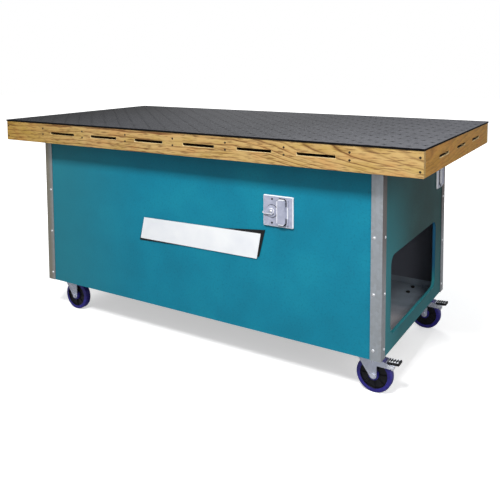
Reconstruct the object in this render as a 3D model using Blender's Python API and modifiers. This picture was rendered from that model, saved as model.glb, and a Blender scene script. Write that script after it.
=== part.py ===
# Downdraft sanding table.
# A hardwood frame carries a perforated mat. It stands on a sheet-steel cabinet with four
# angle posts, which holds the filters and a blower and rolls on four swivel casters.
# Metres, +Z up, +X towards the end with the air outlet, -Y towards the front.
# The origin is on the floor under the middle of the top.

import math

import bmesh
import bpy
from mathutils import Matrix, Quaternion, Vector

# Whole table
TABLE_HEIGHT = 0.849
TOP_LENGTH = 1.829
TOP_WIDTH = 0.914
END_OVERHANG = 0.150
SIDE_OVERHANG = 0.081
FIT_GAP = 0.0003
CUT_OVERRUN = 0.004
MERGE_DISTANCE = 0.00002

# Perforated mat
MAT_THICKNESS = 0.0064
MAT_OVERHANG = 0.002
MAT_HOLE_DIAMETER = 0.008
MAT_HOLE_SPACING = 0.1143
MAT_HOLE_MARGIN = 0.050
MAT_HOLE_SIDES = 6

# Hardwood frame
RAIL_HEIGHT = 0.081
RAIL_THICKNESS = 0.019
JOIST_HEIGHT = 0.0635
JOIST_THICKNESS = 0.019
JOIST_COUNT = 7
SLOT_HEIGHT = 0.009
SLOT_DROP = 0.038
SIDE_SLOT_LENGTH = 0.134
END_SLOT_LENGTH = 0.114
END_SLOT_COUNT = 3

# Sheet metal of the cabinet
SHEET_THICKNESS = 0.002
POST_LEG = 0.038
POST_THICKNESS = 0.0032
RIVET_DIAMETER = 0.0075
RIVET_HEAD = 0.0016
RIVET_SEAT = 0.001
RIVET_SIDES = 8
RIVET_FROM_CORNER = 0.027
RIVET_FROM_BOTTOM = 0.0334
RIVET_SPACING = 0.184
RIVET_COUNT = 3
FLOOR_FLANGE = 0.025
SOFFIT_FLANGE = 0.025
DECK_FLANGE = 0.020

# Air outlet in the right-hand end
OUTLET_FRONT_MARGIN = 0.098
OUTLET_REAR_MARGIN = 0.116
OUTLET_BOTTOM_MARGIN = 0.050
OUTLET_HEIGHT_SHARE = 0.7671
OUTLET_CORNER = 0.034
OUTLET_RIM = 0.012
OUTLET_CORNER_STEPS = 5

# Filters and the plenum under them. The deck's share is of the height from the floor up to
# the filters.
FILTER_COUNT = 3
FILTER_DEPTH = 0.045
FILTER_DROP = 0.030
FILTER_CASE = 0.004
FILTER_PAPER = 0.0015
FILTER_PLEATS = 12
FILTER_PLEAT_MARGIN = 0.004
LEDGE_WIDTH = 0.025
LEDGE_UPSTAND = 0.020
DECK_LEVEL_SHARE = 0.6326

# Blower, hung under the plenum deck with its axis upright. Its two shares are of the height
# from the floor up to the deck.
BLOWER_FROM_LEFT = 0.4645
SCROLL_HEIGHT_SHARE = 0.401
SCROLL_WALL = 0.002
SCROLL_LEAST_RADIUS = 0.165
SCROLL_GREATEST_RADIUS = 0.250
SCROLL_OUTLET_REACH = 0.250
SCROLL_TONGUE_DEGREES = -60.0
SCROLL_STEPS = 30
INLET_RADIUS = 0.105
INLET_RING_SEGMENTS = 28
WHEEL_RUNNING_GAP = 0.006
BLOWER_WHEEL_RADIUS = 0.148
BLOWER_WHEEL_SEGMENTS = 28
BACKPLATE_THICKNESS = 0.003
BLADE_COUNT = 10
BLADE_LENGTH = 0.050
BLADE_THICKNESS = 0.003
BLADE_SWEEP_DEGREES = 30.0
BLADE_INSET = 0.0235
BLADE_SINK = 0.0015
HUB_RADIUS = 0.022
HUB_HEIGHT = 0.030
SHAFT_RADIUS = 0.008
SHAFT_IN_MOTOR = 0.020
SHAFT_FIT = 0.0005
MOTOR_RADIUS = 0.070
MOTOR_FLANGE_RADIUS = 0.085
MOTOR_FLANGE_THICKNESS = 0.006
MOTOR_LEVEL_SHARE = 0.2
MOTOR_SEGMENTS = 24
MOTOR_BELL_SHOULDER = 0.010

# Two-gang cover on the front, and the box behind it
FRONT_COVER_FROM_RIGHT = 0.3703
FRONT_COVER_DROP = 0.1896
COVER_WIDTH = 0.116
COVER_HEIGHT = 0.108
COVER_THICKNESS = 0.008
COVER_EDGE = 0.002
SWITCH_OFFSET = 0.023
RECEPTACLE_OFFSET = 0.0175
WINDOW_WIDTH = 0.026
WINDOW_HEIGHT = 0.067
BOSS_RADIUS = 0.021
BOSS_HEIGHT = 0.004
BOSS_SEGMENTS = 20
LEVER_REACH = 0.033
LEVER_HUB_RADIUS = 0.011
LEVER_TIP_RADIUS = 0.004
LEVER_THICKNESS = 0.005
LEVER_DROOP_DEGREES = 12.0
LEVER_PIN_RADIUS = 0.003
LEVER_PIN_FIT = 0.0004
LEVER_PIN_IN_SWITCH = 0.008
LEVER_STEPS = 8
BOX_MARGIN = 0.010
BOX_DEPTH = 0.048
BOX_WALL = 0.0016

# Flip lids
LID_HEIGHT = 0.088
LID_WIDTH = 0.032
LID_DEPTH = 0.010
LID_WALL = 0.002
LID_CHAMFER = 0.007
LID_HINGE_OFFSET = 0.0065
LID_HINGE_RADIUS = 0.003
LID_HINGE_SEGMENTS = 12
LID_KNUCKLE_SHARE = 0.45
KNUCKLE_FACE_STEP = 0.0005
HINGE_FOOT_SHARE = 0.8
HINGE_PIN_RADIUS = 0.0013
HINGE_PIN_FIT = 0.0003

# Devices behind the front cover
DEVICE_WIDTH = 0.033
DEVICE_HEIGHT = 0.070
DEVICE_DEPTH = 0.030
STRAP_WIDTH = 0.020
STRAP_THICKNESS = 0.0015
STRAP_END_GAP = 0.001
RECEPTACLE_RECESS = 0.0005
SOCKET_SPACING = 0.036
BLADE_SLOT_WIDTH = 0.002
BLADE_SLOT_HEIGHT = 0.008
BLADE_SLOT_DEPTH = 0.012
BLADE_SPACING = 0.0127
GROUND_HOLE_RADIUS = 0.0025
GROUND_HOLE_DROP = 0.0115

# One-gang cover and power inlet on the right-hand end
END_COVER_FROM_REAR = 0.0914
END_COVER_DROP = 0.1277
END_COVER_WIDTH = 0.072
END_COVER_HEIGHT = 0.116
INLET_BODY_RADIUS = 0.0150
INLET_FIT = 0.0005
INLET_DEPTH = 0.045
INLET_RECESS_RADIUS = 0.0125
INLET_RECESS_DEPTH = 0.022
INLET_PIN_COUNT = 3
INLET_PIN_LENGTH = 0.014
INLET_PIN_WIDTH = 0.006
INLET_PIN_THICKNESS = 0.0016
INLET_PIN_CIRCLE = 0.007
INLET_PIN_ROOT = 0.002
INLET_SEGMENTS = 20

# Conduit and motor lead
CONDUIT_RADIUS = 0.008
CONDUIT_BEND = 0.045
CONDUIT_RUN = 0.120
BEND_STEPS = 5
LEAD_RADIUS = 0.006
LEAD_BEND = 0.035
LEAD_FIT = 0.0005
LEAD_FROM_BOX_MIDDLE = 0.020
LEAD_RISE = 0.045
LEAD_RUN = 0.130
LEAD_SEGMENTS = 12

# Sign. The level of its lowest corner is a share of the front panel's height.
SIGN_LENGTH = 0.5725
SIGN_HEIGHT = 0.1175
SIGN_FROM_LEFT = 0.5315
SIGN_LEVEL_SHARE = 0.4
SIGN_BOARD = 0.003
SIGN_FACE = 0.001

# Casters
WHEEL_DIAMETER = 0.123
TREAD_WIDTH = 0.028
TREAD_SHOULDER = 0.004
TREAD_THICKNESS = 0.010
CORE_WEB = 0.014
HUB_WIDTH = 0.037
CASTER_HUB_RADIUS = 0.015
AXLE_RADIUS = 0.004
AXLE_RUNNING_GAP = 0.0003
AXLE_SEGMENTS = 12
WHEEL_SEGMENTS = 24
CASTER_FROM_END = 0.0715
CASTER_FROM_SIDE = 0.0806
CASTER_TRAIL = 0.0235
CROWN_CLEARANCE = 0.0046
KINGPIN_NUT = 0.003
KINGPIN_NUT_RADIUS = 0.011
KINGPIN_RADIUS = 0.006
KINGPIN_SEGMENTS = 12
CROWN_THICKNESS = 0.003
CROWN_RADIUS = 0.034
CROWN_SEGMENTS = 24
SWIVEL_GAP = 0.0005
RACE_HEIGHT = 0.004
RACE_RADIUS = 0.034
CASTER_PLATE_LENGTH = 0.101
CASTER_PLATE_WIDTH = 0.089
CASTER_PLATE_THICKNESS = 0.003
CASTER_PLATE_CORNER = 0.008
PLATE_CORNER_STEPS = 3
BOLT_SPACING_X = 0.081
BOLT_SPACING_Y = 0.066
BOLT_RADIUS = 0.004
BOLT_HOLE_FIT = 0.0005
BOLT_NUT_RADIUS = 0.0075
BOLT_NUT_HEIGHT = 0.0065
BOLT_SIDES = 6
FORK_TOP_HALF = 0.036
FORK_LEG_THICKNESS = 0.003
FORK_SIDE_GAP = 0.0006
FORK_BOSS_RADIUS = 0.012
FORK_SHOULDER = 0.007
FORK_WAIST_DROP = 0.034
FORK_BOSS_STEPS = 6
AXLE_HEAD_RADIUS = 0.0085
AXLE_HEAD_HEIGHT = 0.005

# Brakes on the two right-hand casters. Reaches are from the swivel axis and drops are from
# the top of the wheel.
WING_ROOT_DROP = 0.0045
WING_HEEL_REACH = 0.080
WING_HEEL_DROP = 0.0265
WING_TIP_REACH = 0.0945
WING_TIP_LOW_DROP = 0.022
WING_TIP_TOP_DROP = 0.018
WING_BROW_REACH = 0.0606
WING_BROW_DROP = 0.0078
PEDAL_PIVOT_REACH = 0.078
PEDAL_PIVOT_DROP = 0.0194
PEDAL_PIN_RADIUS = 0.002
PEDAL_PIN_FIT = 0.0004
PEDAL_PIN_END = 0.001
PEDAL_PIN_SEGMENTS = 12
PEDAL_START = 0.064
PEDAL_REACH = 0.108
PEDAL_START_DROP = 0.0082
PEDAL_END_DROP = 0.005
PEDAL_WIDTH = 0.032
PEDAL_THICKNESS = 0.003
PEDAL_SKIRT = 0.009
PEDAL_SKIRT_START = 0.072
PEDAL_SKIRT_THICKNESS = 0.0015
PEDAL_TOE_SKIRT = 0.003
PEDAL_SHOE_FACE = 0.0823
PEDAL_SHOE_LENGTH = 0.006
PEDAL_SHOE_WIDTH = 0.022
PEDAL_SHOE_DROP = 0.015

# Levels, from the top down
FRAME_TOP = TABLE_HEIGHT - MAT_THICKNESS - FIT_GAP
FRAME_LENGTH = TOP_LENGTH - 2 * MAT_OVERHANG
FRAME_WIDTH = TOP_WIDTH - 2 * MAT_OVERHANG
JOIST_BOTTOM = FRAME_TOP - JOIST_HEIGHT
JOIST_SPACING = FRAME_LENGTH / (JOIST_COUNT + 1)
SOFFIT_BOTTOM = JOIST_BOTTOM - FIT_GAP - SHEET_THICKNESS
WALL_TOP = SOFFIT_BOTTOM - FIT_GAP
FILTER_TOP = WALL_TOP - FILTER_DROP
LEDGE_TOP = FILTER_TOP - FILTER_DEPTH - FIT_GAP

# Levels of a caster, from the floor up
WHEEL_RADIUS = 0.5 * WHEEL_DIAMETER
KINGPIN_BOTTOM = WHEEL_DIAMETER + CROWN_CLEARANCE
CROWN_BOTTOM = KINGPIN_BOTTOM + KINGPIN_NUT + FIT_GAP
CROWN_TOP = CROWN_BOTTOM + CROWN_THICKNESS
RACE_BOTTOM = CROWN_TOP + SWIVEL_GAP
CASTER_PLATE_BOTTOM = RACE_BOTTOM + RACE_HEIGHT
CASTER_PLATE_TOP = CASTER_PLATE_BOTTOM + CASTER_PLATE_THICKNESS
CABINET_BOTTOM = CASTER_PLATE_TOP + FIT_GAP
FLOOR_TOP = CABINET_BOTTOM + SHEET_THICKNESS

# Levels inside the cabinet
PANEL_HEIGHT = WALL_TOP - CABINET_BOTTOM
DECK_TOP = FLOOR_TOP + DECK_LEVEL_SHARE * (LEDGE_TOP - SHEET_THICKNESS - FLOOR_TOP)
DECK_BOTTOM = DECK_TOP - SHEET_THICKNESS
EXHAUST_HEIGHT = DECK_BOTTOM - FLOOR_TOP
SCROLL_HEIGHT = SCROLL_HEIGHT_SHARE * EXHAUST_HEIGHT
MOTOR_BOTTOM = FLOOR_TOP + MOTOR_LEVEL_SHARE * EXHAUST_HEIGHT
OUTLET_HEIGHT = OUTLET_HEIGHT_SHARE * (DECK_BOTTOM - CABINET_BOTTOM)

# Cabinet in plan
CABINET_LENGTH = TOP_LENGTH - 2 * END_OVERHANG
CABINET_WIDTH = TOP_WIDTH - 2 * SIDE_OVERHANG
PANEL_FACE_X = 0.5 * CABINET_LENGTH - POST_THICKNESS - FIT_GAP
PANEL_FACE_Y = 0.5 * CABINET_WIDTH - POST_THICKNESS - FIT_GAP
INSIDE_X = PANEL_FACE_X - SHEET_THICKNESS - FIT_GAP
INSIDE_Y = PANEL_FACE_Y - SHEET_THICKNESS - FIT_GAP

HALF_TURN = math.pi
QUARTER_TURN = 0.5 * math.pi
SMOOTH_ANGLE = 0.6
FACING_FRONT = (QUARTER_TURN, 0, 0)
FACING_END = (QUARTER_TURN, 0, QUARTER_TURN)
UPRIGHT_ALONG = Matrix.Rotation(QUARTER_TURN, 4, "X")
UPRIGHT_ACROSS = Matrix.Rotation(QUARTER_TURN, 4, "Z") @ UPRIGHT_ALONG
ROD_TURNS = {"X": Matrix.Rotation(QUARTER_TURN, 4, "Y"), "Y": UPRIGHT_ALONG,
             "Z": Matrix.Identity(4)}

for old in list(bpy.data.objects):
    bpy.data.objects.remove(old, do_unlink=True)

PARTS = bpy.data.collections.new("downdraft_table")
CUTTERS = bpy.data.collections.new("cutters")
GUIDES = bpy.data.collections.new("guides")
for group in (PARTS, CUTTERS, GUIDES):
    bpy.context.scene.collection.children.link(group)


def linear(colour):
    """An sRGB hex colour as linear red, green and blue."""
    channels = [int(colour[place:place + 2], 16) / 255 for place in (0, 2, 4)]
    return [c / 12.92 if c <= 0.04045 else ((c + 0.055) / 1.055) ** 2.4 for c in channels]


def finish(name, colour, roughness, metallic=0.0):
    """A plain Principled material."""
    made = bpy.data.materials.new(name)
    made.use_nodes = True
    shader = made.node_tree.nodes["Principled BSDF"]
    shader.inputs["Base Color"].default_value = (*linear(colour), 1.0)
    shader.inputs["Roughness"].default_value = roughness
    shader.inputs["Metallic"].default_value = metallic
    return made


MAT_RUBBER = finish("mat_rubber", "66686C", 0.75)
OAK = finish("oak", "C9A06A", 0.55)
TEAL_PAINT = finish("teal_paint", "1C84A0", 0.5)
DARK_PAINT = finish("dark_grey_paint", "33363C", 0.6)
GALVANISED = finish("galvanised_steel", "9AA0A8", 0.45, 0.8)
ZINC = finish("zinc_plate", "B8BAC6", 0.35, 0.9)
CAST_GREY = finish("cast_aluminium", "B4B4C0", 0.5, 0.3)
BLUE_TREAD = finish("blue_polyurethane", "3C3489", 0.5)
BLACK_PLASTIC = finish("black_plastic", "17171A", 0.5)
IVORY_PLASTIC = finish("ivory_plastic", "DAD6C8", 0.45)
SIGN_WHITE = finish("sign_white", "EDF0F4", 0.4)
FILTER_MEDIA = finish("filter_media", "D9DCD6", 0.9)
MOTOR_ENAMEL = finish("motor_enamel", "5B5F66", 0.45)


def place(thing, collection, location=(0, 0, 0), rotation=(0, 0, 0), parent=None):
    """Puts an object in a collection at its place, under a parent if it has one."""
    thing.location = location
    thing.rotation_euler = rotation
    thing.parent = parent
    collection.objects.link(thing)
    return thing


def part(name, mesh, surface, location=(0, 0, 0), rotation=(0, 0, 0), parent=None):
    """A named piece of the table."""
    thing = bpy.data.objects.new(name, mesh)
    if not mesh.materials:
        mesh.materials.append(surface)
    return place(thing, PARTS, location, rotation, parent)


def guide(name, location, parent=None):
    """An empty on a joint's axis."""
    return place(bpy.data.objects.new(name, None), GUIDES, location, parent=parent)


def shape(target, operation, tool_mesh, location=(0, 0, 0)):
    """Cuts or joins a piece with a Boolean modifier. The tool rides on the piece."""
    name = f"{target.name}_{operation.lower()}_{len(target.modifiers)}"
    tool = place(bpy.data.objects.new(name, tool_mesh), CUTTERS, location, parent=target)
    tool.hide_render = True
    tool.display_type = "WIRE"
    modifier = target.modifiers.new(name, "BOOLEAN")
    modifier.operation = operation
    modifier.object = tool


def cut(target, tool_mesh, location=(0, 0, 0)):
    """Takes the tool's shape out of a piece."""
    shape(target, "DIFFERENCE", tool_mesh, location)


def join(target, tool_mesh, location=(0, 0, 0)):
    """Adds the tool's shape to a piece."""
    shape(target, "UNION", tool_mesh, location)


def evaluated_mesh(thing):
    """The mesh of an object with its modifiers applied."""
    bpy.context.view_layer.update()
    graph = bpy.context.evaluated_depsgraph_get()
    return bpy.data.meshes.new_from_object(thing.evaluated_get(graph))


def finished_mesh(thing):
    """The evaluated mesh of a piece, which is removed with its tools, for pieces made alike."""
    mesh = evaluated_mesh(thing)
    for tool in list(thing.children):
        bpy.data.objects.remove(tool, do_unlink=True)
    bpy.data.objects.remove(thing, do_unlink=True)
    return mesh


def mesh_from(builder, name):
    """Turns a bmesh into a mesh, shaded smooth across its gentle edges."""
    mesh = bpy.data.meshes.new(name)
    builder.to_mesh(mesh)
    builder.free()
    mesh.shade_smooth()
    mesh.set_sharp_from_angle(angle=SMOOTH_ANGLE)
    return mesh


def boxes(name, *corners):
    """Boxes in one mesh, each given by its low and its high corner."""
    builder = bmesh.new()
    for low, high in corners:
        low = Vector(low)
        high = Vector(high)
        seat = Matrix.Translation(0.5 * (low + high)) @ Matrix.Diagonal((*(high - low), 1))
        bmesh.ops.create_cube(builder, size=1, matrix=seat)
    return mesh_from(builder, name)


def rods(name, centres, radius, length, sides, axis="Z"):
    """Rods in one mesh, all along one axis and centred on their points."""
    builder = bmesh.new()
    for centre in centres:
        seat = Matrix.Translation(Vector(centre)) @ ROD_TURNS[axis]
        bmesh.ops.create_cone(builder, cap_ends=True, segments=sides, radius1=radius,
                              radius2=radius, depth=length, matrix=seat)
    return mesh_from(builder, name)


def turned(name, profile, steps, start=0.0):
    """A turned piece about Z. The closed profile of radii and heights runs down its outside."""
    builder = bmesh.new()
    first = Matrix.Rotation(start, 4, "Z")
    dots = [builder.verts.new(first @ Vector((radius, 0, height))) for radius, height in profile]
    for near, far in zip(dots, dots[1:] + dots[:1]):
        builder.edges.new((near, far))
    thing = place(bpy.data.objects.new(name, mesh_from(builder, name)), GUIDES)
    screw = thing.modifiers.new("turn", "SCREW")
    screw.steps = steps
    screw.render_steps = steps
    screw.use_merge_vertices = True
    screw.merge_threshold = MERGE_DISTANCE
    mesh = finished_mesh(thing)
    mesh.shade_smooth()
    mesh.set_sharp_from_angle(angle=SMOOTH_ANGLE)
    return mesh


def curve_mesh(name, curve):
    """A curve object made into a closed mesh."""
    thing = place(bpy.data.objects.new(name, curve), GUIDES)
    mesh = evaluated_mesh(thing)
    builder = bmesh.new()
    builder.from_mesh(mesh)
    bmesh.ops.remove_doubles(builder, verts=builder.verts, dist=MERGE_DISTANCE)
    bpy.data.objects.remove(thing, do_unlink=True)
    return mesh_from(builder, name)


def outline(name, points, thickness, turn=None):
    """A flat plate with the given outline, centred on the plane of its points."""
    curve = bpy.data.curves.new(name, "CURVE")
    curve.dimensions = "2D"
    curve.fill_mode = "BOTH"
    curve.extrude = 0.5 * thickness
    spline = curve.splines.new("POLY")
    spline.points.add(len(points) - 1)
    for dot, (across, up) in zip(spline.points, points):
        dot.co = (across, up, 0, 1)
    spline.use_cyclic_u = True
    mesh = curve_mesh(name, curve)
    if turn:
        mesh.transform(turn)
    return mesh


def tube(name, corners, radius, bend, steps):
    """A bent tube through its corners, each rounded by an arc."""
    route = [Vector(corners[0])]
    for before, corner, after in zip(corners, corners[1:], corners[2:]):
        corner = Vector(corner)
        back = (Vector(before) - corner).normalized()
        on = (Vector(after) - corner).normalized()
        half = 0.5 * back.angle(on)
        reach = bend / math.tan(half)
        middle = corner + (back + on).normalized() * (bend / math.sin(half))
        start = corner + back * reach - middle
        end = corner + on * reach - middle
        turn = start.rotation_difference(end)
        route += [middle + Quaternion(turn.axis, turn.angle * step / steps) @ start
                  for step in range(steps + 1)]
    route.append(Vector(corners[-1]))
    curve = bpy.data.curves.new(name, "CURVE")
    curve.dimensions = "3D"
    curve.bevel_depth = radius
    curve.bevel_resolution = 2
    curve.use_fill_caps = True
    spline = curve.splines.new("POLY")
    spline.points.add(len(route) - 1)
    for dot, at in zip(spline.points, route):
        dot.co = (*at, 1)
    return curve_mesh(name, curve)


def arc(centre, radius, start, end, steps):
    """Points along an arc between two angles in degrees."""
    angles = [math.radians(start + (end - start) * step / steps) for step in range(steps + 1)]
    return [(centre[0] + radius * math.cos(a), centre[1] + radius * math.sin(a)) for a in angles]


def rounded_rectangle(left, right, bottom, top, radius, steps):
    """A rectangle's outline with round corners."""
    points = arc((right - radius, bottom + radius), radius, -90, 0, steps)
    points += arc((right - radius, top - radius), radius, 0, 90, steps)
    points += arc((left + radius, top - radius), radius, 90, 180, steps)
    points += arc((left + radius, bottom + radius), radius, 180, 270, steps)
    return points


# Perforated mat: a thick rubber sheet that covers the whole frame, with holes in a
# checkerboard. It lies loose and lifts off to reach the filters.
top_mat = part("top_mat", boxes("top_mat", (
    (-0.5 * TOP_LENGTH, -0.5 * TOP_WIDTH, TABLE_HEIGHT - MAT_THICKNESS),
    (0.5 * TOP_LENGTH, 0.5 * TOP_WIDTH, TABLE_HEIGHT))), MAT_RUBBER)
hole_columns = int((TOP_LENGTH - 2 * MAT_HOLE_MARGIN) / MAT_HOLE_SPACING) + 1
hole_rows = int((TOP_WIDTH - 2 * MAT_HOLE_MARGIN) / MAT_HOLE_SPACING) + 1
mat_holes = [((column - 0.5 * (hole_columns - 1)) * MAT_HOLE_SPACING,
              (row - 0.5 * (hole_rows - 1)) * MAT_HOLE_SPACING,
              TABLE_HEIGHT - 0.5 * MAT_THICKNESS)
             for column in range(hole_columns) for row in range(hole_rows)
             if (column + row) % 2 == 0]
cut(top_mat, rods("mat_holes", mat_holes, 0.5 * MAT_HOLE_DIAMETER,
                  MAT_THICKNESS + 2 * CUT_OVERRUN, MAT_HOLE_SIDES))

# Side rails: full-length boards on edge, with an air slot in each bay between two joists.
slot_top = FRAME_TOP - SLOT_DROP + 0.5 * SLOT_HEIGHT
slot_bottom = slot_top - SLOT_HEIGHT
frame_inside_x = 0.5 * FRAME_LENGTH - RAIL_THICKNESS - FIT_GAP
frame_inside_y = 0.5 * FRAME_WIDTH - RAIL_THICKNESS - FIT_GAP
for rail_name, side in (("front_rail", -1), ("rear_rail", 1)):
    outer = side * 0.5 * FRAME_WIDTH
    inner = outer - side * RAIL_THICKNESS
    low_y = min(outer, inner)
    high_y = max(outer, inner)
    rail = part(rail_name, boxes(rail_name, (
        (-0.5 * FRAME_LENGTH, low_y, FRAME_TOP - RAIL_HEIGHT),
        (0.5 * FRAME_LENGTH, high_y, FRAME_TOP))), OAK)
    middles = [(bay - 0.5 * (JOIST_COUNT - 2)) * JOIST_SPACING for bay in range(JOIST_COUNT - 1)]
    cut(rail, boxes(rail_name + "_slots", *[(
        (middle - 0.5 * SIDE_SLOT_LENGTH, low_y - CUT_OVERRUN, slot_bottom),
        (middle + 0.5 * SIDE_SLOT_LENGTH, high_y + CUT_OVERRUN, slot_top)) for middle in middles]))

# End rails: shorter boards between the side rails, with three slots.
for rail_name, side in (("left_rail", -1), ("right_rail", 1)):
    outer = side * 0.5 * FRAME_LENGTH
    inner = outer - side * RAIL_THICKNESS
    low_x = min(outer, inner)
    high_x = max(outer, inner)
    rail = part(rail_name, boxes(rail_name, (
        (low_x, -frame_inside_y, FRAME_TOP - RAIL_HEIGHT),
        (high_x, frame_inside_y, FRAME_TOP))), OAK)
    middles = [(slot - 0.5 * (END_SLOT_COUNT - 1)) * JOIST_SPACING for slot in range(END_SLOT_COUNT)]
    cut(rail, boxes(rail_name + "_slots", *[(
        (low_x - CUT_OVERRUN, middle - 0.5 * END_SLOT_LENGTH, slot_bottom),
        (high_x + CUT_OVERRUN, middle + 0.5 * END_SLOT_LENGTH, slot_top)) for middle in middles]))

# Joists: boards on edge across the frame, screwed through the side rails.
joist_mesh = boxes("joist", (
    (-0.5 * JOIST_THICKNESS, -frame_inside_y, 0),
    (0.5 * JOIST_THICKNESS, frame_inside_y, JOIST_HEIGHT)))
for joist in range(JOIST_COUNT):
    joist_x = (joist - 0.5 * (JOIST_COUNT - 1)) * JOIST_SPACING
    part(f"joist_{joist + 1}", joist_mesh, OAK, (joist_x, 0, JOIST_BOTTOM))

# Soffit pan: a sheet under the joists that closes the overhang, with its middle turned down
# into the cabinet all round.
soffit_pan = part("soffit_pan", boxes("soffit_pan", (
    (-frame_inside_x, -frame_inside_y, SOFFIT_BOTTOM),
    (frame_inside_x, frame_inside_y, SOFFIT_BOTTOM + SHEET_THICKNESS))), GALVANISED)
join(soffit_pan, boxes("soffit_flange", (
    (-INSIDE_X, -INSIDE_Y, SOFFIT_BOTTOM - SOFFIT_FLANGE),
    (INSIDE_X, INSIDE_Y, SOFFIT_BOTTOM + 0.5 * SHEET_THICKNESS))))
cut(soffit_pan, boxes("soffit_throat", (
    (SHEET_THICKNESS - INSIDE_X, SHEET_THICKNESS - INSIDE_Y, LEDGE_TOP),
    (INSIDE_X - SHEET_THICKNESS, INSIDE_Y - SHEET_THICKNESS, JOIST_BOTTOM + CUT_OVERRUN))))

# Corner posts: steel angles over the panels' corners, with rivet heads on both legs.
post_mesh = outline("post", [
    (0, 0), (POST_LEG, 0), (POST_LEG, POST_THICKNESS), (POST_THICKNESS, POST_THICKNESS),
    (POST_THICKNESS, POST_LEG), (0, POST_LEG)], PANEL_HEIGHT)
rivet_length = RIVET_HEAD + RIVET_SEAT
rivet_middle = 0.5 * (RIVET_SEAT - RIVET_HEAD)
post_middle = 0.5 * (WALL_TOP + CABINET_BOTTOM)
rivet_heights = [CABINET_BOTTOM + RIVET_FROM_BOTTOM + row * RIVET_SPACING - post_middle
                 for row in range(RIVET_COUNT)]
riveted_post = part("post", post_mesh, GALVANISED)
join(riveted_post, rods("side_rivets", [
    (RIVET_FROM_CORNER, rivet_middle, height) for height in rivet_heights],
    0.5 * RIVET_DIAMETER, rivet_length, RIVET_SIDES, "Y"))
join(riveted_post, rods("end_rivets", [
    (rivet_middle, RIVET_FROM_CORNER, height) for height in rivet_heights],
    0.5 * RIVET_DIAMETER, rivet_length, RIVET_SIDES, "X"))
riveted_post_mesh = finished_mesh(riveted_post)
for post_name, x_side, y_side, quarter in (("front_left_post", -1, -1, 0),
                                           ("front_right_post", 1, -1, 1),
                                           ("rear_right_post", 1, 1, 2),
                                           ("rear_left_post", -1, 1, 3)):
    part(post_name, riveted_post_mesh, GALVANISED,
         (x_side * 0.5 * CABINET_LENGTH, y_side * 0.5 * CABINET_WIDTH, post_middle),
         (0, 0, quarter * QUARTER_TURN))

# Front and rear panels: full-length sheets just behind the posts. The front one has a
# cut-out for the electrical box.
box_inside_width = COVER_WIDTH - 2 * BOX_MARGIN - 2 * BOX_WALL
box_inside_height = COVER_HEIGHT - 2 * BOX_MARGIN - 2 * BOX_WALL
cover_x = 0.5 * CABINET_LENGTH - FRONT_COVER_FROM_RIGHT
cover_z = WALL_TOP - FRONT_COVER_DROP
for panel_name, side in (("front_panel", -1), ("rear_panel", 1)):
    outer = side * PANEL_FACE_Y
    inner = outer - side * SHEET_THICKNESS
    panel = part(panel_name, boxes(panel_name, (
        (-PANEL_FACE_X, min(outer, inner), CABINET_BOTTOM),
        (PANEL_FACE_X, max(outer, inner), WALL_TOP))), TEAL_PAINT)
    if side < 0:
        cut(panel, boxes("box_cutout", (
            (cover_x - 0.5 * box_inside_width, outer - CUT_OVERRUN, cover_z - 0.5 * box_inside_height),
            (cover_x + 0.5 * box_inside_width, inner + CUT_OVERRUN, cover_z + 0.5 * box_inside_height))))

# Left end panel: a plain sheet between the front and rear panels.
part("left_end_panel", boxes("left_end_panel", (
    (-PANEL_FACE_X, -INSIDE_Y, CABINET_BOTTOM),
    (SHEET_THICKNESS - PANEL_FACE_X, INSIDE_Y, WALL_TOP))), TEAL_PAINT)

# Right end panel: the same sheet with the air outlet, whose edge turns in, and a round hole
# for the power inlet.
inlet_y = 0.5 * CABINET_WIDTH - END_COVER_FROM_REAR
inlet_z = WALL_TOP - END_COVER_DROP
outlet_low_y = OUTLET_FRONT_MARGIN - 0.5 * CABINET_WIDTH
outlet_high_y = 0.5 * CABINET_WIDTH - OUTLET_REAR_MARGIN
outlet_low_z = CABINET_BOTTOM + OUTLET_BOTTOM_MARGIN
outlet_high_z = outlet_low_z + OUTLET_HEIGHT
right_end_panel = part("right_end_panel", boxes("right_end_panel", (
    (PANEL_FACE_X - SHEET_THICKNESS, -INSIDE_Y, CABINET_BOTTOM),
    (PANEL_FACE_X, INSIDE_Y, WALL_TOP))), TEAL_PAINT)
rim_outline = rounded_rectangle(
    outlet_low_y - SHEET_THICKNESS, outlet_high_y + SHEET_THICKNESS,
    outlet_low_z - SHEET_THICKNESS, outlet_high_z + SHEET_THICKNESS,
    OUTLET_CORNER + SHEET_THICKNESS, OUTLET_CORNER_STEPS)
hole_outline = rounded_rectangle(outlet_low_y, outlet_high_y, outlet_low_z, outlet_high_z,
                                 OUTLET_CORNER, OUTLET_CORNER_STEPS)
rim_reach = OUTLET_RIM - 0.5 * SHEET_THICKNESS
rim_x = PANEL_FACE_X - OUTLET_RIM + 0.5 * rim_reach
join(right_end_panel, outline("outlet_rim", rim_outline, rim_reach, UPRIGHT_ACROSS), (rim_x, 0, 0))
cut(right_end_panel, outline("outlet_hole", hole_outline, 2 * OUTLET_RIM + 2 * CUT_OVERRUN,
                             UPRIGHT_ACROSS), (PANEL_FACE_X, 0, 0))
cut(right_end_panel, rods("inlet_hole", [(PANEL_FACE_X, inlet_y, inlet_z)],
                          INLET_BODY_RADIUS + INLET_FIT, 2 * SHEET_THICKNESS + 2 * CUT_OVERRUN,
                          INLET_SEGMENTS, "X"))

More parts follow.
